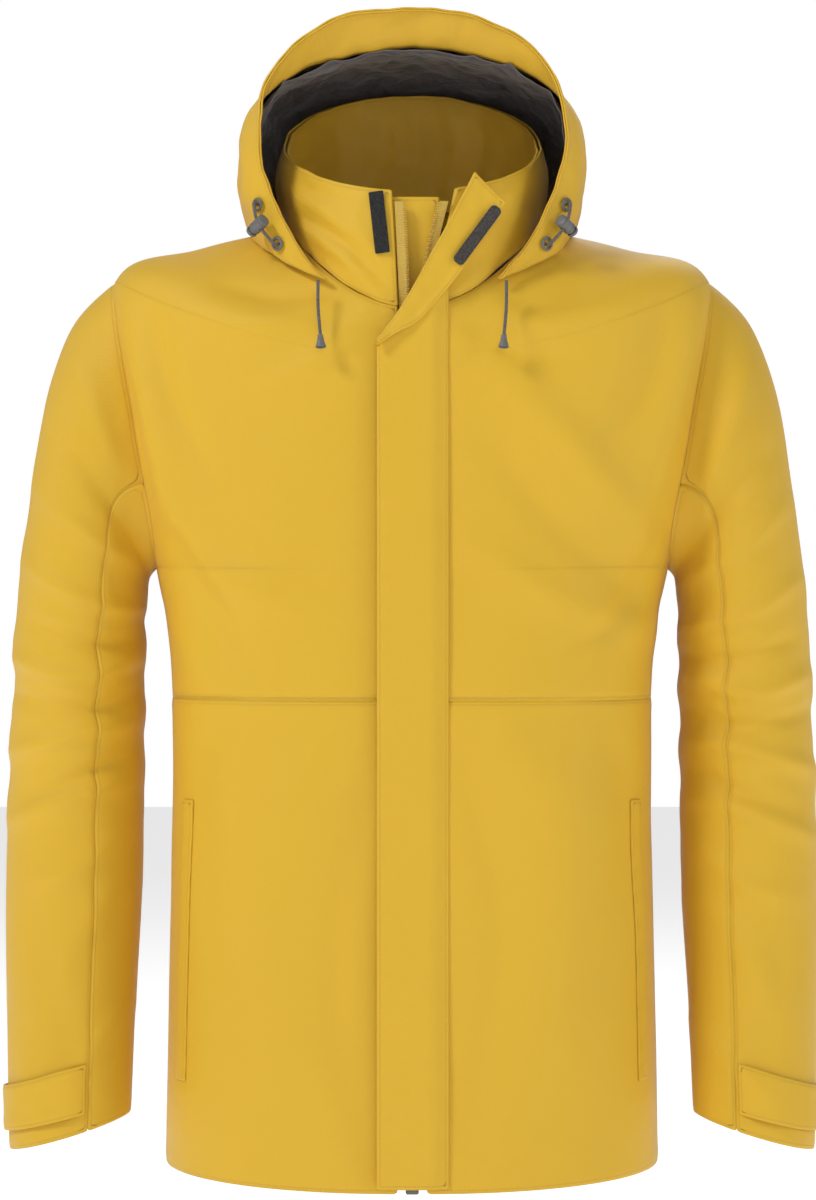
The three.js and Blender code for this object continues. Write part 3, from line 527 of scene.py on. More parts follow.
def lining_cloth():
    shade = Shade("lining_cloth", Sheen_Weight=0.25, Specular_IOR_Level=0.6)
    crumple = shade.lumps(26.0, 4.0, Distortion=1.2)
    creases = (shade.lumps(15.0, 3.0) - 0.5).math("ABSOLUTE")
    grain = woven(shade, 0.0008)
    # The colour follows the crumple noise that also raises the bump: painted light on its ridges and
    # painted shade in its hollows.
    tint = shade.blend(crumple, (0.060, 0.052, 0.058, 1), (0.15, 0.135, 0.145, 1))
    return shade.set(Base_Color=tint, Roughness=shade.lumps(60.0) * 0.2 + 0.30,
                     Normal=shade.relief(crumple * 1.0 + creases * 2.6 + grain * 0.01, 0.008))


def pile_tape(name, dark, light, scale, distance):
    shade = Shade(name, Sheen_Weight=0.3)
    loops = shade.node("TexVoronoi", {}, Vector=shade.place(), Scale=scale)
    return shade.set(Base_Color=shade.blend(loops * 1.6, light, dark), Roughness=0.85 + loops * 0.1,
                     Normal=shade.relief(1 - loops, distance))


def zip_cloth():
    shade = Shade("zip_tape", Sheen_Weight=0.1)
    ribs = shade.node("TexWave", {"bands_direction": "Z"}, Vector=shade.place(), Scale=260.0)
    fuzz = shade.lumps(700.0)
    return shade.set(Base_Color=shade.blend(fuzz, (0.62, 0.40, 0.055, 1), (0.74, 0.50, 0.09, 1)),
                     Roughness=0.5 + fuzz * 0.2, Normal=shade.relief(ribs + fuzz * 0.4, 0.0003))


def grey_plastic():
    shade = Shade("grey_plastic", Specular_IOR_Level=0.45)
    skin = shade.lumps(1400.0, 2.0)
    wear = shade.lumps(120.0, 3.0)
    return shade.set(Base_Color=shade.blend(wear, (0.115, 0.115, 0.12, 1), (0.185, 0.185, 0.185, 1)),
                     Roughness=0.34 + wear * 0.2, Normal=shade.relief(skin, 0.00006))


def cord_cloth():
    shade = Shade("cord", Sheen_Weight=0.2)
    braid = shade.node("TexVoronoi", {}, Vector=shade.place(), Scale=1100.0)
    return shade.set(Base_Color=shade.blend(braid * 1.5, (0.22, 0.20, 0.18, 1), (0.09, 0.08, 0.07, 1)),
                     Roughness=0.7 + braid * 0.2, Normal=shade.relief(1 - braid, 0.0004))


def pale_floor():
    """A white floor that glows a little, so that it stays pale away from the lamps."""
    shade = Shade("pale_floor", Emission_Color=(1, 1, 1, 1), Emission_Strength=FLOOR_GLOW)
    grain = shade.lumps(30.0, 2.0)
    tint = shade.blend(grain * 0.1, (0.95, 0.95, 0.95, 1), (0.88, 0.88, 0.88, 1))
    return shade.set(Base_Color=tint, Roughness=0.6 + grain * 0.1)


FINISH = {"shell_cloth": shell_cloth(), "lining_cloth": lining_cloth(), "zip_tape": zip_cloth(),
          "hook_tape": pile_tape("hook_tape", (0.004, 0.004, 0.004, 1), (0.03, 0.03, 0.028, 1),
                                 900.0, 0.0006),
          "loop_tape": pile_tape("loop_tape", (0.035, 0.03, 0.026, 1), (0.09, 0.08, 0.07, 1),
                                 700.0, 0.0005),
          "grey_plastic": grey_plastic(), "cord": cord_cloth()}
# A copy of the shell cloth a touch brighter, for the inner faces of the collar and the hood facing: painted
# light where the lamps barely reach.
LIT_INSIDE_CLOTH = shell_cloth("inner_cloth_painted_light", (0.80, 0.48, 0.035, 1), (0.7, 0.40, 0.04, 1))


def dress(piece, finish, nodes, body_name="jacket", material=None):
    """Gives a piece its finish, hides the CAD nodes that it stands for and hangs it on the body that it
    rides on.
    """
    piece.data.materials.clear()
    piece.data.materials.append(material or FINISH[finish])
    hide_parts(*nodes)
    if body_name:
        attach(piece, body_name)
    return piece


# ------------------------------------------------------------ camera, light and floor

EYE, LENS, SENSOR = (-3.2, -2800, 477.6), 105, 36


def camera():
    data = bpy.data.cameras.new("camera")
    data.lens, data.sensor_width, data.sensor_height = LENS, SENSOR, SENSOR
    data.sensor_fit = "VERTICAL"
    eye = bpy.data.objects.new("camera", data)
    eye.location = to_frame(EYE)
    eye.rotation_euler = (math.pi / 2, 0, 0)
    bpy.context.scene.collection.objects.link(eye)
    bpy.context.scene.camera = eye


def lamp(name, place, aim, size, power):
    data = bpy.data.lights.new(name, "AREA")
    data.shape, data.size, data.energy = "DISK", size, power
    light = bpy.data.objects.new(name, data)
    light.location = place
    light.rotation_euler = (Vector(aim) - Vector(place)).to_track_quat("-Z", "Y").to_euler()
    bpy.context.scene.collection.objects.link(light)


SKY_LIGHT, FLOOR_GLOW = 0.3, 0.5
FLOOR_DROP, FLOOR_SIZE = 0.12, 14  # metres below the hem, and across


def room():
    """A pale floor, an even pale sky and four soft lamps."""
    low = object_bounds()[0][2] - FLOOR_DROP
    bpy.ops.object.select_all(action="DESELECT")
    bpy.ops.mesh.primitive_plane_add(size=FLOOR_SIZE, location=(0, 0, low))
    floor = bpy.context.object
    floor.name = "floor"
    floor.data.transform(floor.matrix_world)
    floor.matrix_world = Matrix.Identity(4)
    floor.data.materials.append(pale_floor())
    world = bpy.data.worlds.new("studio")
    world.use_nodes = True
    sky = world.node_tree.nodes["Background"]
    sky.inputs[0].default_value = (1, 1, 1, 1)
    seen = world.node_tree.nodes.new("ShaderNodeLightPath")
    level = world.node_tree.nodes.new("ShaderNodeMapRange")
    level.inputs["To Min"].default_value = SKY_LIGHT
    level.inputs["To Max"].default_value = 1.0
    world.node_tree.links.new(seen.outputs["Is Camera Ray"], level.inputs["Value"])
    world.node_tree.links.new(level.outputs["Result"], sky.inputs[1])
    bpy.context.scene.world = world
    bpy.context.scene.view_settings.view_transform = "Standard"
    middle = (0, -0.08, -0.35)
    lamp("key", (-1.9, -1.5, 1.7), middle, 0.8, 40)
    lamp("front", (0.4, -3.0, 0.6), (0, 0, 0.05), 0.6, 7)
    lamp("fill", (2.4, -1.2, 0.7), middle, 1.0, 13)
    lamp("back", (0.6, 2.2, 1.6), middle, 1.8, 20)


# ------------------------------------------------------------ body and sleeves

def held(panel, edges, strength=1.0, within=1):
    """Marks rows or columns next to an edge as held while the cloth is eased."""
    for edge in edges:
        strip = {"l": np.s_[:, :within], "r": np.s_[:, -within:],
                 "b": np.s_[:within, :], "t": np.s_[-within:, :]}[edge]
        panel.hold[strip] = np.maximum(panel.hold[strip], strength)


# Soft folds: a line through places given as [across, height], its half width and how far it stands
# out, or in if negative. Those of the sleeve are for the wearer's left one.
BODY_FOLDS = [
    ([(-225, 700), (-205, 620), (-185, 540)], 12, 3.4),
    ([(-206, 716), (-188, 640), (-150, 560)], 12, -2.8),
    ([(-190, 560), (-150, 500), (-90, 470)], 16, 2.4),
    ([(-186, 530), (-150, 470), (-120, 420)], 9, -2.0),
    ([(-70, 700), (-120, 690), (-170, 705)], 9, 2.0),
    ([(-60, 716), (-105, 712), (-150, 722)], 6, -1.8),
    ([(-38, 700), (-70, 664), (-110, 640)], 9, 1.5),
    ([(-50, 640), (-110, 560), (-130, 460)], 30, 1.8),
    ([(-60, 380), (-110, 250), (-100, 120)], 26, 2.4),
    ([(-150, 390), (-165, 330), (-150, 200)], 16, -1.8),
    ([(-190, 480), (-170, 430), (-120, 405)], 12, 1.6),
    ([(-40, 330), (-60, 200), (-44, 60)], 14, -1.4),
]
OTHER_BODY_FOLDS = [
    ([(222, 704), (206, 640), (182, 560)], 13, 3.2),
    ([(200, 716), (182, 650), (150, 590)], 14, -2.4),
    ([(70, 650), (130, 590), (190, 520)], 16, 3.0),
    ([(60, 600), (110, 540), (180, 480)], 14, -2.6),
    ([(48, 520), (110, 480), (190, 450)], 15, 2.4),
    ([(196, 540), (170, 480), (120, 430)], 9, -2.0),
    ([(60, 704), (100, 690), (160, 706)], 9, 2.2),
    ([(40, 690), (84, 666), (120, 664)], 8, -1.6),
    ([(70, 380), (120, 300), (100, 130)], 26, 2.4),
    ([(150, 380), (170, 300), (140, 180)], 16, -1.8),
    ([(44, 350), (70, 220), (46, 70)], 14, -1.6),
    ([(196, 480), (160, 440), (110, 402)], 12, 1.4),
]
BACK_FOLDS = [
    ([(-200, 700), (-150, 600), (-60, 540)], 22, 3.0),
    ([(200, 700), (150, 610), (60, 550)], 22, 3.0),
    ([(-190, 520), (-120, 470), (0, 455)], 16, -2.2),
    ([(190, 520), (110, 480), (0, 470)], 16, 2.2),
    ([(-60, 380), (-90, 240), (-70, 80)], 26, 2.6),
    ([(70, 380), (100, 250), (60, 90)], 26, 2.4),
    ([(-80, 740), (0, 722), (80, 740)], 12, -2.0),
]
SLEEVE_FOLDS = [
    ([(212, 560), (240, 600), (262, 660)], 10, 3.0),
    ([(216, 520), (250, 566), (282, 600)], 11, -2.4),
    ([(218, 500), (252, 520), (296, 560)], 9, 2.2),
    ([(218, 462), (256, 470), (306, 500)], 8, 2.8),
    ([(218, 440), (250, 436), (300, 452)], 7, -2.8),
    ([(220, 424), (262, 410), (314, 424)], 8, 3.4),
    ([(220, 396), (256, 384), (316, 396)], 7, -3.0),
    ([(222, 372), (262, 366), (318, 350)], 8, 3.0),
    ([(222, 350), (250, 336), (300, 318)], 7, -2.4),
    ([(224, 326), (264, 318), (318, 296)], 9, 2.2),
    ([(226, 290), (260, 262), (300, 250)], 10, 1.6),
    ([(230, 250), (266, 200), (290, 150)], 14, 1.6),
    ([(296, 230), (280, 160), (262, 100)], 12, -1.2),
    ([(226, 150), (250, 120), (280, 96)], 8, 1.4),
]


def drawn_folds(points, folds, turn=1, face=-1, spread=1.0):
    """How far each point is lifted by folds drawn on one face, front (-1) or back (1)."""
    lift = np.zeros(points.shape[:-1])
    flat = points[..., [0, 2]] * np.array([turn, 1])
    facing = np.clip((face * (points[..., 1] + 4) + 40) / 50, 0, 1)
    for line, width, height in folds:
        path = spline(line, np.linspace(0, 1, 28))
        away = np.linalg.norm(flat[..., None, :] - path, axis=-1)
        nearest = away.argmin(-1)
        taper = np.sin(np.pi * np.clip((nearest + 2.5) / 32, 0, 1)) ** 0.7
        lift += height * taper * np.exp(-(away.min(-1) / (width * spread)) ** 2)
    return lift * facing


def jacket_panels():
    """The shell's body and sleeves, eased together as one sewn garment."""
    made = {}

    def cut(name, *pattern):
        made[name] = Panel(name, *pattern)

    halves = ("upper", -SLEEVE_SEAM, SLEEVE_SEAM), ("under", SLEEVE_SEAM, 2 * np.pi - SLEEVE_SEAM)
    for side, turn in (("left", lambda f: f), ("right", mirrored)):
        flip = side == "right"
        cut("front_upper_" + side, turn(body), front_upper, FRONT_COLUMNS, UPPER_ROWS, flip)
        cut("front_lower_" + side, turn(body), front_lower, FRONT_COLUMNS, LOWER_ROWS, flip)
        for word, start, end in halves:
            columns = round(SLEEVE_COLUMNS * (end - start) / 2 / np.pi)
            plan = lambda s, t, a=start, b=end: (mix(a, b, s), down_sleeve(t))
            cut(f"sleeve_{word}_{side}", turn(sleeve), plan, columns, SLEEVE_ROWS, flip)
    cut("back_upper", body, back_upper, BACK_COLUMNS, UPPER_ROWS)
    cut("back_lower", body, back_lower, BACK_COLUMNS, LOWER_ROWS)
    for name, panel in made.items():
        panel.hold = np.zeros(panel.shape)
        panel.outward = panel.normals()
        panel.base = panel.points
        height = panel.points[..., 2]
        side = 1 if "left" in name else -1
        if "sleeve" in name:
            elbow = smoothstep(height, 230, 330) * (1 - smoothstep(height, 480, 580))
            panel.slack = 0.006 + 0.034 * elbow
            held(panel, "b", 1.0)
            held(panel, "t", 0.5, 3)
            lump = 0.8 * soft_noise(panel.points, 24, 3 if side > 0 else 11) * (0.3 + elbow)
            shake = np.array([0, 0, 6.0 if side > 0 else -7.0])
            panel.folds = 2.0 * drawn_folds(panel.points + shake, SLEEVE_FOLDS, side, -1, 0.85)
            panel.folds += 1.5 * drawn_folds(panel.points + shake * 3, SLEEVE_FOLDS, side, 1, 1.2)
            panel.folds *= smoothstep(np.arange(panel.shape[0]) / panel.shape[0], 0, 0.08)[:, None]
        else:
            panel.slack = np.full(panel.shape, 0.006)
            held(panel, "t" if "upper" in name else "b", 1.0 if "upper" in name else 0.1)
            if "front" in name:
                held(panel, "l", 1.0, 5)
            if "upper" in name:
                low, high = ARMHOLE_ROWS
                edges = [-1] if "front" in name else [0, -1]
                panel.hold[low:high + 1, edges] = 1.0
                panel.hold[high:, edges] = np.maximum(panel.hold[high:, edges], 0.5)
            lump = 0.9 * soft_noise(panel.points, 60, 5) + 0.35 * soft_noise(panel.points, 24, 5)
            if "front" in name:
                panel.folds = 2.0 * drawn_folds(panel.points, OTHER_BODY_FOLDS if side > 0 else BODY_FOLDS)
            else:
                panel.folds = 2.0 * drawn_folds(panel.points, BACK_FOLDS, 1, 1)
            panel.folds *= smoothstep(edge_distance(panel), 2, 26)
        lump *= 1 - smoothstep(panel.hold, 0.3, 0.6)
        panel.points = panel.points + panel.outward * lump[..., None]
    ease_cloth(list(made.values()))
    for panel in made.values():
        panel.points = panel.points + panel.outward * panel.folds[..., None]
    return made


def edge_distance(panel):
    """How far each point lies, in millimetres, from a held edge across the body."""
    left, _ = panel.runs()
    right = left[:, -1:] - left
    if "back" in panel.name:
        return np.where(panel.hold[:, :1] > 0.3, left, 99) * (left < right) + np.where(
            panel.hold[:, -1:] > 0.3, right, 99) * (left >= right)
    return np.minimum(left, np.where(panel.hold[:, -1:] > 0.3, right, 99))


SEWN = {"front_upper": "lrbt", "front_lower": "lrtb", "back_upper": "lrbt", "back_lower": "lrtb",
        "sleeve_upper": "lrbt", "sleeve_under": "lrbt"}


def across_shoulder(piece, side):
    """Bakes a sleeve piece's placement into its mesh."""
    sign = 1 if side == "left" else -1
    "sleeve_" + side
    to_frame((sign * 222, 4, 617))
    to_frame((sign * 262, 4, 612))
    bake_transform(piece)


def body_and_sleeves(made):
    for name, panel in made.items():
        kind = name.replace("_left", "").replace("_right", "")
        piece = panel.make(SEWN[kind])
        if "sleeve" in name:
            dress(piece, "shell_cloth", [name], None)
            across_shoulder(piece, name.split("_")[-1])
        else:
            dress(piece, "shell_cloth", [name])


# ------------------------------------------------------------ hood and collar

def crumpled(panel, height, size, seed, creased=0.0):
    """Gives a panel soft lumps of about the given size and, where creased, sharp ridges between them."""
    lump = soft_noise(panel.points, size, seed) + 0.5 * soft_noise(panel.points, size * 0.45, seed + 1)
    if creased:
        lump = lump - creased * np.abs(soft_noise(panel.points, size * 1.3, seed + 2))
    panel.points = panel.points + panel.normals() * (height * lump)[..., None]
    return panel


def hood_panel(name, low, high, near, far, columns, rows):
    plan = lambda s, t: (mix(near, far, s), mix(low, high, t))
    return Panel(name, hood, plan, columns, rows)


def hood_cloth():
    seams = {"hood_side_left": (0, HOOD_SEAM, 64), "hood_centre": (HOOD_SEAM, 2 - HOOD_SEAM, 52),
             "hood_side_right": (2 - HOOD_SEAM, 2, 64)}
    for name, (low, high, rows) in seams.items():
        panel = crumpled(hood_panel(name, low, high, 0, 0.995, 110, rows), 1.9, 36, 21, 1.5)
        dress(panel.make("lbt"), "shell_cloth", [name], "hood")
    facing = crumpled(hood_panel("hood_facing", 0.0, 2.0, 0.0, FACING, 16, 220), 1.9, 36, 21, 1.5)
    dress(facing.make("lr", depth=1.7), "shell_cloth", ["hood_facing"], "hood", LIT_INSIDE_CLOTH)
    lining = crumpled(hood_panel("hood_lining", 0.02, 1.98, FACING * 0.8, 0.99, 110, 220), 2.6, 26, 31, 3.0)
    dress(lining.make(thickness=LINING, depth=6.0), "lining_cloth", ["hood_lining"], "hood")


def collar_plan(s, t):
    left = np.arcsin(mix(OPENING, COLLAR["left"], t) / COLLAR["half"])
    right = np.arcsin(mix(OPENING, COLLAR["right"], t) / COLLAR["half"])
    return round_body(left, 2 * np.pi - right, s), t


COLLAR_FOLDS = [
    ([(-98, 800), (-60, 772), (-26, 742)], 6, 2.6),
    ([(-94, 780), (-56, 756), (-22, 722)], 5, -2.2),
    ([(-84, 766), (-50, 738), (-20, 708)], 5, 2.4),
    ([(-100, 822), (-80, 796), (-50, 786)], 7, -2.0),
    ([(-40, 790), (-44, 770), (-30, 748)], 7, 1.8),
    ([(96, 812), (70, 776), (50, 748)], 7, 2.4),
    ([(98, 790), (76, 760), (44, 730)], 6, -2.2),
    ([(88, 776), (60, 744), (36, 716)], 6, 2.2),
    ([(84, 830), (70, 800), (66, 780)], 8, -1.6),
]
INNER_COLLAR_FOLDS = [
    ([(-30, 890), (-24, 850), (-44, 800)], 9, -3.0),
    ([(-8, 888), (6, 850), (-4, 806)], 8, 2.6),
    ([(28, 888), (38, 850), (30, 810)], 8, -3.2),
    ([(52, 880), (58, 850), (48, 800)], 7, 2.6),
    ([(-64, 880), (-60, 840), (-74, 800)], 9, 2.4),
    ([(-40, 848), (0, 836), (50, 846)], 8, -1.6),
]


def collar_cloth():
    outer = crumpled(Panel("collar_outer", collar, collar_plan, 180, 44), 1.2, 26, 41, 1.5)
    inner = crumpled(Panel("collar_facing", collar, collar_plan, 180, 44), 1.2, 26, 41, 1.5)
    front = drawn_folds(outer.points, COLLAR_FOLDS)
    back = drawn_folds(outer.points, INNER_COLLAR_FOLDS, 1, 1)
    for panel in (outer, inner):
        left, _ = panel.runs()
        edge = smoothstep(left, 0, 14) * smoothstep(left[:, -1:] - left, 0, 14)
        panel.points = panel.points + panel.normals() * ((front + back) * edge)[..., None]
    dress(outer.make("lrbt"), "shell_cloth", ["collar_outer"])
    dress(inner.make("lrt", depth=3.2), "shell_cloth", ["collar_facing"], material=LIT_INSIDE_CLOTH)


# ------------------------------------------------------------ linings and pockets

def on_panel(panel, s, t):
    """Places and outward directions on a panel that is already made, for shares across and along it."""
    rows, columns = panel.shape[0] - 1, panel.shape[1] - 1
    x, y = np.clip(s, 0, 1) * columns, np.clip(t, 0, 1) * rows
    i, j = np.minimum(y.astype(int), rows - 1), np.minimum(x.astype(int), columns - 1)
    a, b = (x - j)[..., None], (y - i)[..., None]
    grids = panel.points, panel.normals()
    return [mix(mix(g[i, j], g[i, j + 1], a), mix(g[i + 1, j], g[i + 1, j + 1], a), b) for g in grids]


def laid_on(name, panel, plan, columns, rows, lift):
    """A second layer that follows a panel, at a height above it."""
    def surface(s, t):
        place, out = on_panel(panel, s, t)
        return place + out * np.broadcast_to(lift, s.shape)[..., None]

    return Panel(name, surface, plan, columns, rows, panel.flip)


def linings():
    edge = math.asin(27 / RINGS[WAIST][0])
    plan = lambda s, t: (round_body(edge, 2 * np.pi - edge, s), mix(0.05, TIP + 1.6, t))
    lining = crumpled(Panel("body_lining", body, plan, 150, 110), 1.6, 46, 51)
    dress(lining.make("lrb", thickness=LINING, depth=13), "lining_cloth", ["body_lining"])
    for side, turn in (("left", sleeve), ("right", mirrored(sleeve))):
        plan = lambda s, t: (mix(-np.pi, np.pi, s), mix(0.1, 0.985, t))
        inner = crumpled(Panel("sleeve_lining_" + side, turn, plan, 60, 90, side == "right"), 1.2, 30, 57)
        depth = 10 - 7 * smoothstep(np.linspace(0, 1, 91), 0.9, 1)[:, None]
        piece = inner.make("t", thickness=LINING, depth=depth)
        dress(piece, "lining_cloth", ["sleeve_lining_" + side], None)
        across_shoulder(piece, side)


def pockets(made):
    shares = np.linspace(0, 1, 80)
    angles = round_body(opening(np.full(80, 0.5)), np.pi / 2, shares)
    heights = body(np.full(80, math.radians(POCKET["angle"])), shares * WAIST)[:, 2]
    for side in ("left", "right"):
        front = made["front_lower_" + side]
        middle = np.interp(math.radians(POCKET["angle"]), angles, shares)
        low, high = np.interp([POCKET["bottom"] - 8, POCKET["top"] + 8], heights, shares)
        half = POCKET["welt"] / 2 / 235
        plan = lambda s, t: (middle + mix(-half, half, s), mix(low, high, t))
        lift = 1.5 - 1.7 * smoothstep(np.linspace(-1, 1, 13), 0.2, 1)[None, :] * np.ones((91, 1))
        welt = laid_on("pocket_welt_" + side, front, plan, 12, 90, lift)
        dress(welt.make("lrbt", thickness=1.2, groove=0.3), "shell_cloth", ["pocket_welt_" + side])
        half = 9.5 / 235
        ridge = -7 + 1.2 * np.exp(-((np.abs(np.linspace(-9.5, 9.5, 25)) - 1.9) / 0.9) ** 2)
        strip = laid_on("pocket_zip_" + side, front, plan, 24, 90, ridge[None, :])
        dress(strip.make("lr", thickness=0.9, groove=0.2), "zip_tape", ["pocket_zip_" + side])
        low, high = np.interp([POCKET["bottom"] - 26, POCKET["top"] + 18], heights, shares)
        near, far = np.interp(np.radians([28, 72]), angles, shares)
        plan = lambda s, t: (mix(near, far, s), mix(low, high, t))
        bag = crumpled(laid_on("pocket_bag_" + side, front, plan, 40, 60, -9.0), 0.7, 30, 63)
        dress(bag.make("lrbt", thickness=1.2), "lining_cloth", ["pocket_bag_" + side])


def cuff_tabs(made):
    length, _ = DOWN_SLEEVE
    for side in ("left", "right"):
        turn = 1 if side == "left" else -1
        upper = made["sleeve_upper_" + side]
        start = (math.radians(-14) + SLEEVE_SEAM) / 2 / SLEEVE_SEAM
        high = lambda s: length(0.915 + 0.012 * (1 - s)) / length(1.0)
        low = length(0.978) / length(1.0)
        plan = lambda s, t: (mix(start, 0.985, s), mix(high(s), low, t))
        across, _ = np.meshgrid(np.linspace(0, 1, 61), np.linspace(0, 1, 21))
        lift = 3.4 - 2.0 * smoothstep(across, 0.86, 1) + 0.5 * np.sin(across * 9)
        tab = laid_on("cuff_tab_" + side, upper, plan, 60, 20, lift)
        piece = tab.make("lrbt", thickness=1.4, groove=0.35)
        dress(piece, "shell_cloth", ["cuff_tab_" + side], "cuff_tab_" + side)


# ------------------------------------------------------------ front closure

LEAN = math.atan(FRONT_SLOPE)
ZIP_TOP, ZIP_BOTTOM, TAPE_TOP, ZIP_LEVEL = 662, 34, 784, 2.2
FLAP = {"left": -27, "right": 28, "bottom": 30}
FLAP_CLOTH = 1.6  # the flap is two layers of shell cloth
TOOTH, TOOTH_STEP = (2.8, 2.2, 0.95), 1.8
OPEN_LOW = [(-27, 671), (-12, 681), (3, 689), (19, 706), (36, 727), (54, 755), (72, 783)]
OPEN_HIGH = [(-27, 677), (-13, 695), (1, 718), (14, 742), (25, 762), (36, 783), (48, 806)]
OPEN_TURN = math.sin(math.radians(9))


def at_front(across, inward, height):
    """A place on the front: across, inwards from the cloth's face, and its height."""
    run = (np.asarray(height, float) - HEM_FRONT) / math.cos(LEAN)
    y = -FRONT_AT_HEM + inward * math.cos(LEAN) + run * math.sin(LEAN)
    z = HEM_FRONT - inward * math.sin(LEAN) + run * math.cos(LEAN)
    return np.stack(np.broadcast_arrays(across, y, z), -1)


def storm_flap():
    left, right, bottom = FLAP["left"], FLAP["right"], FLAP["bottom"]
    rim = np.array(OPEN_LOW, float)

    def surface(x, z):
        wave = 0.9 * np.sin(z / 71 + x / 45) + 0.45 * np.sin(z / 29 + 2) * np.cos(x / 15)
        lift = 7.0 + wave * smoothstep(z, bottom, 120) - 5.4 * smoothstep(x, 14, right)
        return at_front(x, -lift, z)

    def plan(s, t):
        x = mix(left, right, s)
        return x, mix(bottom, np.interp(x, rim[:, 0], rim[:, 1]) + 1.5, t)

    panel = Panel("storm_flap", surface, plan, 28, 240)
    dress(panel.make("lrb", thickness=FLAP_CLOTH, groove=0.35), "shell_cloth", ["storm_flap"], "storm_flap")

    def open_surface(s, t):
        p = mix(spline(OPEN_HIGH, t), spline(OPEN_LOW, t), s[..., None])
        roll = 2.6 * np.exp(-((1 - s) / 0.16) ** 2)
        roll = roll + 1.6 * np.exp(-(s / 0.12) ** 2) * smoothstep(t, 0.1, 0.5)
        swell = 1.4 * np.sin(np.pi * s) * np.sin(2.6 * t + 0.6)
        return at_front(p[..., 0], -7.4 + p[..., 0] * OPEN_TURN - roll - swell, p[..., 1])

    panel = Panel("storm_flap_top", open_surface, lambda s, t: (s, t), 30, 90)
    panel = crumpled(panel, 0.5, 22, 71)
    dress(panel.make("lrt", thickness=FLAP_CLOTH, groove=0.35), "shell_cloth", ["storm_flap_top"])


def under_flap():
    def surface(x, z):
        bow = 1.3 * np.sin(z / 37 + 1) * np.cos(x / 13) * smoothstep(z, 640, 700)
        return at_front(x, 8.4 + bow, z)

    plan = lambda s, t: (mix(-19, 21, s), mix(34, 788, t))
    panel = Panel("under_flap", surface, plan, 16, 220)
    dress(panel.make("lrt", thickness=1.2, groove=0.3), "shell_cloth", ["under_flap"])


def zip_half(side):
    hand, spread = (1, 18.5) if side == "left" else (-1, 4)

    def away(z):
        return hand * spread * np.clip((z - ZIP_TOP) / (TAPE_TOP - ZIP_TOP), 0, 1) ** 1.8

    def surface(x, z):
        return at_front(hand * x + away(z), ZIP_LEVEL + 0.1 - 0.5 * np.exp(-((x - 3.2) / 1.2) ** 2), z)

    plan = lambda s, t: (mix(2.5, 9.6, s), mix(ZIP_BOTTOM, TAPE_TOP, t))
    tape = Panel("zip_half_" + side, surface, plan, 10, 240, hand < 0)
    piece = tape.make("r", thickness=0.8, groove=0.2)
    bpy.ops.object.select_all(action="DESELECT")
    bpy.ops.mesh.primitive_cube_add(size=1)
    tooth = bpy.context.object
    tooth.data.transform(Matrix.Diagonal((*TOOTH, 1)))
    add_modifier(tooth, "BEVEL", width=0.3, segments=2)
    shape = np.array([v.co for v in tooth.data.vertices])
    faces = [list(f.vertices) for f in tooth.data.polygons]
    bpy.data.objects.remove(tooth)
    heights = np.arange(ZIP_BOTTOM + (TOOTH_STEP / 2 if hand > 0 else 0), TAPE_TOP - 2, TOOTH_STEP)
    reach = np.where(heights < ZIP_TOP - 8, 1.5, 2.3)
    x, y, z = shape.T
    places = np.concatenate([at_front(x + hand * r + away(h), y + ZIP_LEVEL, z + h)
                             for h, r in zip(heights, reach)])
    mesh = bpy.data.meshes.new("teeth")
    count = len(shape)
    mesh.from_pydata(to_frame(places).tolist(), [],
                     [[v + k * count for v in f] for k in range(len(heights)) for f in faces])
    teeth = bpy.data.objects.new("teeth", mesh)
    bpy.context.scene.collection.objects.link(teeth)
    teeth.select_set(True)
    bpy.context.view_layer.objects.active = teeth
    bpy.ops.object.shade_smooth()
    bpy.ops.object.select_all(action="DESELECT")
    teeth.select_set(True)
    piece.select_set(True)
    bpy.context.view_layer.objects.active = piece
    bpy.ops.object.join()
    dress(piece, "zip_tape", ["zip_half_" + side])


# ------------------------------------------------------------ small pieces

def link(name, mesh):
    bpy.ops.object.select_all(action="DESELECT")
    piece = bpy.data.objects.new(name, mesh)
    bpy.context.scene.collection.objects.link(piece)
    piece.select_set(True)
    bpy.context.view_layer.objects.active = piece
    return piece


def settle(piece, place):
    """Moves a piece made in millimetres about its own origin to its place in the frame."""
    points = np.array([v.co for v in piece.data.vertices])
    piece.data.vertices.foreach_set("co", to_frame(place(points)).astype(np.float32).ravel())
    piece.data.update()
    return piece


def plate(name, outline, thickness, place, bevel=0.3):
    """A flat piece cut to an outline of across and up, its face at depth 0 and its back behind it."""
    mesh = bpy.data.meshes.new(name)
    mesh.from_pydata([(x, 0, z) for x, z in outline], [], [tuple(range(len(outline)))])
    piece = link(name, mesh)
    bpy.ops.object.mode_set(mode="EDIT")
    bpy.ops.mesh.select_all(action="SELECT")
    bpy.ops.mesh.extrude_region_move(TRANSFORM_OT_translate={"value": (0, thickness, 0)})
    bpy.ops.mesh.select_all(action="SELECT")
    bpy.ops.mesh.normals_make_consistent(inside=False)
    bpy.ops.object.mode_set(mode="OBJECT")
    add_modifier(piece, "BEVEL", width=bevel, segments=3, limit_method="ANGLE")
    bpy.ops.object.shade_smooth_by_angle(angle=math.radians(40))
    return settle(piece, place)


def rounded(width, length, corner, steps=6):
    """The outline of a rectangle with round corners."""
    points = []
    for x, z, turn in ((1, 1, 0), (-1, 1, 90), (-1, -1, 180), (1, -1, 270)):
        for k in range(steps + 1):
            a = math.radians(turn + 90 * k / steps)
            points.append((x * (width / 2 - corner) + corner * math.cos(a),
                           z * (length / 2 - corner) + corner * math.sin(a)))
    return points


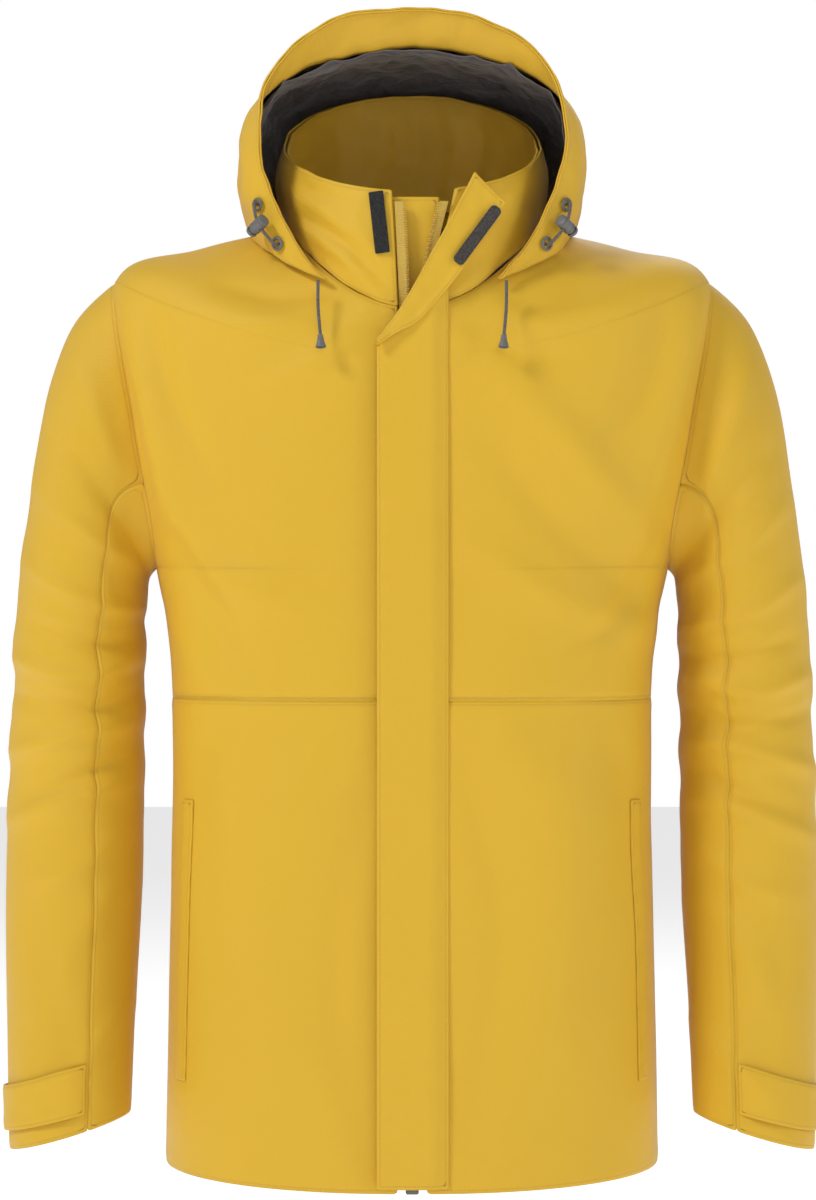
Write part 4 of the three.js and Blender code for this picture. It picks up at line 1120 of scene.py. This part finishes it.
def turned(name, profile):
    """A piece turned about x from a profile of along and radius."""
    mesh = bpy.data.meshes.new(name)
    mesh.from_pydata([(x, r, 0) for x, r in profile], [(i, i + 1) for i in range(len(profile) - 1)], [])
    piece = link(name, mesh)
    bpy.ops.object.mode_set(mode="EDIT")
    bpy.ops.mesh.select_all(action="SELECT")
    bpy.ops.mesh.spin(steps=36, angle=2 * math.pi, center=(0, 0, 0), axis=(1, 0, 0))
    bpy.ops.mesh.select_all(action="SELECT")
    bpy.ops.mesh.remove_doubles(threshold=0.01)
    bpy.ops.mesh.normals_make_consistent(inside=False)
    bpy.ops.object.mode_set(mode="OBJECT")
    bpy.ops.object.shade_smooth_by_angle(angle=math.radians(35))
    return piece


def drilled(piece, radius, stretch=1.0):
    """Cuts a round way along z through a piece."""
    bpy.ops.object.select_all(action="DESELECT")
    bpy.ops.mesh.primitive_cylinder_add(radius=radius, depth=40, vertices=32)
    drill = bpy.context.object
    drill.data.transform(Matrix.Diagonal((stretch, 1, 1, 1)))
    add_modifier(piece, "BOOLEAN", object=drill, operation="DIFFERENCE", solver="EXACT")
    bpy.data.objects.remove(drill)
    piece.select_set(True)
    bpy.context.view_layer.objects.active = piece
    bpy.ops.object.shade_smooth_by_angle(angle=math.radians(35))
    return piece


def tube(name, path, radius, side, sides=14, flat=1.0, closed=False):
    """A round or flattened cord along a path in millimetres. side is a direction that is never along it."""
    path, side = np.asarray(path, float), np.asarray(side, float)
    along = np.gradient(path, axis=0)
    if closed:
        along = np.roll(path, -1, 0) - np.roll(path, 1, 0)
    along /= np.linalg.norm(along, axis=1, keepdims=True)
    first = side - along * (along @ side)[:, None]
    first /= np.linalg.norm(first, axis=1, keepdims=True)
    second = np.cross(along, first)
    turn = 2 * np.pi * np.arange(sides) / sides
    cosine, sine = np.cos(turn)[None, :, None], np.sin(turn)[None, :, None]
    ring = first[:, None] * cosine + flat * second[:, None] * sine
    points = path[:, None] + radius * ring
    count = len(path)
    faces = []
    for i in range(count if closed else count - 1):
        a, b = i * sides, (i + 1) % count * sides
        faces += [(a + j, b + j, b + (j + 1) % sides, a + (j + 1) % sides) for j in range(sides)]
    if not closed:
        faces += [tuple(range(sides)), tuple(range(count * sides - 1, (count - 1) * sides - 1, -1))]
    mesh = bpy.data.meshes.new(name)
    mesh.from_pydata(to_frame(points.reshape(-1, 3)).tolist(), [], faces)
    piece = link(name, mesh)
    bpy.ops.object.mode_set(mode="EDIT")
    bpy.ops.mesh.select_all(action="SELECT")
    bpy.ops.mesh.normals_make_consistent(inside=False)
    bpy.ops.object.mode_set(mode="OBJECT")
    run = np.r_[0, np.cumsum(np.linalg.norm(np.diff(path, axis=0), axis=1))]
    layer = mesh.uv_layers.new(name="cloth")
    corners = np.empty(len(mesh.loops), int)
    mesh.loops.foreach_get("vertex_index", corners)
    uv = np.stack([corners % sides * (2 * np.pi * radius / sides), run[corners // sides]], -1) * MM
    layer.data.foreach_set("uv", uv.ravel())
    bpy.ops.object.shade_smooth_by_angle(angle=math.radians(50))
    return piece


def tape_patches():
    front = lambda x, z, inward: lambda p: at_front(p[:, 0] + x, p[:, 1] + inward, p[:, 2] + z)
    small, wide = rounded(11, 48, 0.9), rounded(11, 48, 3)
    piece = plate("hook_patch_chest", small, 1.0, front(-19, 658, -1.5))
    dress(piece, "hook_tape", ["hook_patch_chest"])
    piece = plate("loop_patch_chest", wide, 1.0, front(-19, 630, -5.1))
    dress(piece, "loop_tape", ["loop_patch_chest"], "storm_flap")
    turn = math.radians(36)

    def on_open_flap(p):
        x = 50 + p[:, 0] * math.cos(turn) + p[:, 2] * math.sin(turn)
        z = 757 - p[:, 0] * math.sin(turn) + p[:, 2] * math.cos(turn)
        return at_front(x, p[:, 1] - 11.4 + x * OPEN_TURN, z)

    piece = plate("loop_patch_collar", rounded(9.4, 54, 3.8), 1.6, on_open_flap)
    dress(piece, "loop_tape", ["loop_patch_collar"])
    angle = -math.asin(25 / COLLAR["half"])
    centre, out = surface_frame(collar, angle, 0.7)
    across = np.cross(-out, (0, 0, 1))
    across /= np.linalg.norm(across)
    up = np.cross(across, -out)
    lean = math.radians(-7)
    piece = plate("hook_patch_collar", rounded(11.5, 48, 0.9), 1.0, lambda p: centre + out * 2.6 + (
        across * (p[:, :1] * math.cos(lean) + p[:, 2:] * math.sin(lean)) - out * p[:, 1:2]
        + up * (p[:, 2:] * math.cos(lean) - p[:, :1] * math.sin(lean))))
    dress(piece, "hook_tape", ["hook_patch_collar"])


def surface_frame(surface, a, b, turn=1):
    """A place on a surface and its outward direction, for the left side, or turned to the right."""
    step = 1e-3
    place = lambda x, y: surface(np.array(float(x)), np.array(float(y)))
    out = np.cross(place(a + step, b) - place(a - step, b), place(a, b + step) - place(a, b - step))
    flip = np.array([turn, 1, 1])
    return place(a, b) * flip, out / np.linalg.norm(out) * flip


EYELET = [(0, 3.4), (0, 5.6), (0.5, 5.6), (1.1, 5.2), (1.5, 4.6), (1.45, 4.0), (1.0, 3.5), (0, 3.4)]
BARREL = [(-6.5, 0), (-6.5, 4.3), (-6.2, 4.8), (-5.6, 5.0), (-4.9, 5.0), (-4.6, 4.6), (-4.2, 4.6),
          (-3.9, 5.0), (3.9, 5.0), (4.2, 4.6), (4.6, 4.6), (4.9, 5.0), (6.0, 5.0), (6.4, 4.7), (6.5, 4.2),
          (6.4, 3.7), (6.0, 3.5), (-4.9, 3.5), (-4.9, 0)]
BUTTON = [(-2.6, 0), (-2.6, 2.9), (-2.3, 3.2), (8.8, 3.2), (8.8, 4.3), (9.1, 4.6), (10.6, 4.6),
          (11.2, 4.2), (11.5, 3.4), (11.2, 2.6), (11.0, 0)]
BELL = [(0, 0), (0, 1.7), (0.4, 2.2), (2.6, 2.2), (3.0, 2.6), (3.6, 2.6), (4.0, 2.4), (8.8, 4.0),
        (9.5, 4.2), (10, 3.9), (9.8, 3.4), (6.4, 2.3), (6.1, 0)]
CORD = 1.3  # radius
CORD_FALL = 42  # from the hood's corner down to the cord's bell


def hood_fittings(side):
    turn = 1 if side == "left" else -1
    eyelets = [surface_frame(hood, *place, turn) for place in (UPPER_EYELET, LOWER_EYELET)]
    for (centre, out), word in zip(eyelets, ("upper", "lower")):
        first = np.cross(out, (0, 0, 1))
        first /= np.linalg.norm(first)
        frame_of = np.stack([out, first, np.cross(out, first)])
        ring = settle(turned(f"eyelet_{word}_{side}", EYELET), lambda p: centre + out * 0.9 + p @ frame_of)
        dress(ring, "grey_plastic", [f"eyelet_{word}_{side}"], "hood")
    (upper, upper_out), (lower, lower_out) = eyelets
    out = (upper_out + lower_out) / np.linalg.norm(upper_out + lower_out)
    centre = (upper + lower) / 2 + out * 10
    across = np.cross(-out, upper - lower)
    across /= np.linalg.norm(across)
    run = np.cross(across, -out)
    frame_of = np.stack([across * turn, -out * turn, run])
    for name, profile, stretch in (("cord_lock_", BARREL, 1.0), ("lock_button_", BUTTON, 2.5)):
        piece = drilled(turned(name + side, profile), 2.1, stretch)
        dress(settle(piece, lambda p: centre + p @ frame_of), "grey_plastic", [name + side], name + side)
    route = [upper - upper_out * 1.2, upper + upper_out * 4.5, centre + run * 6, centre, centre - run * 6,
             lower + lower_out * 4.5, lower - lower_out * 1.2]
    path = spline(route, np.linspace(0, 1, 37))
    piece = tube("hood_cord_" + side, path, CORD, across)
    dress(piece, "cord", ["hood_cord_" + side], "hood")
    declare_cord(path)

    corner = hood(np.array(0.03), np.array(0.0)) * np.array([turn, 1, 1]) + np.array([0, -13, 0])
    corner[2] = 722
    foot = np.array([corner[0] - turn * 2, corner[1] - 8, corner[2] - CORD_FALL])
    middle = mix(corner, foot, 0.5) + np.array([turn * 0.8, -0.4, 0])
    path = spline([corner, middle, foot], np.linspace(0, 1, 20))
    piece = tube("cord_end_" + side, path, CORD, (0, 1, 0))
    dress(piece, "cord", ["cord_end_" + side], "cord_end_" + side)
    down = (foot - corner) / np.linalg.norm(foot - corner)
    first = np.cross(down, (0, 1, 0))
    first /= np.linalg.norm(first)
    frame_of = np.stack([down, first, np.cross(down, first)])
    bell = settle(turned("cord_bell_" + side, BELL), lambda p: foot + down * 0.1 + p @ frame_of)
    dress(bell, "grey_plastic", ["cord_bell_" + side], "cord_end_" + side)
    declare_cord(path)


def declare_cord(path):
    line = to_frame(path)


def hanger_loop():
    outline = np.array(rounded(38, 12.5, 5, 8))
    path = np.stack([outline[:, 0], np.full(len(outline), LOOP[1]), outline[:, 1] + 800], -1)
    piece = tube("hanger_loop", path, 3.4, (0, 1, 0), 16, 0.5, True)
    dress(piece, "lining_cloth", ["hanger_loop"])


def zip_box():
    place = lambda p: at_front(p[:, 0], p[:, 1] + ZIP_LEVEL - 1.7, p[:, 2] + ZIP_BOTTOM - 4.3)
    piece = plate("zip_box", rounded(10, 8, 1.6), 3.4, place, 0.5)
    dress(piece, "grey_plastic", ["zip_box"])


# ------------------------------------------------------------ making

camera()
room()
garment = jacket_panels()
body_and_sleeves(garment)
hood_cloth()
collar_cloth()
linings()
pockets(garment)
cuff_tabs(garment)
storm_flap()
under_flap()
tape_patches()
hanger_loop()
zip_box()
for side in ("left", "right"):
    zip_half(side)
    hood_fittings(side)

for name, node in frame["nodes"].items():
    finish = next(s["material_slot"] for s in frame["record"]["subparts"] if s["node"] == name)
    node.data.materials.clear()
    node.data.materials.append(FINISH[finish])
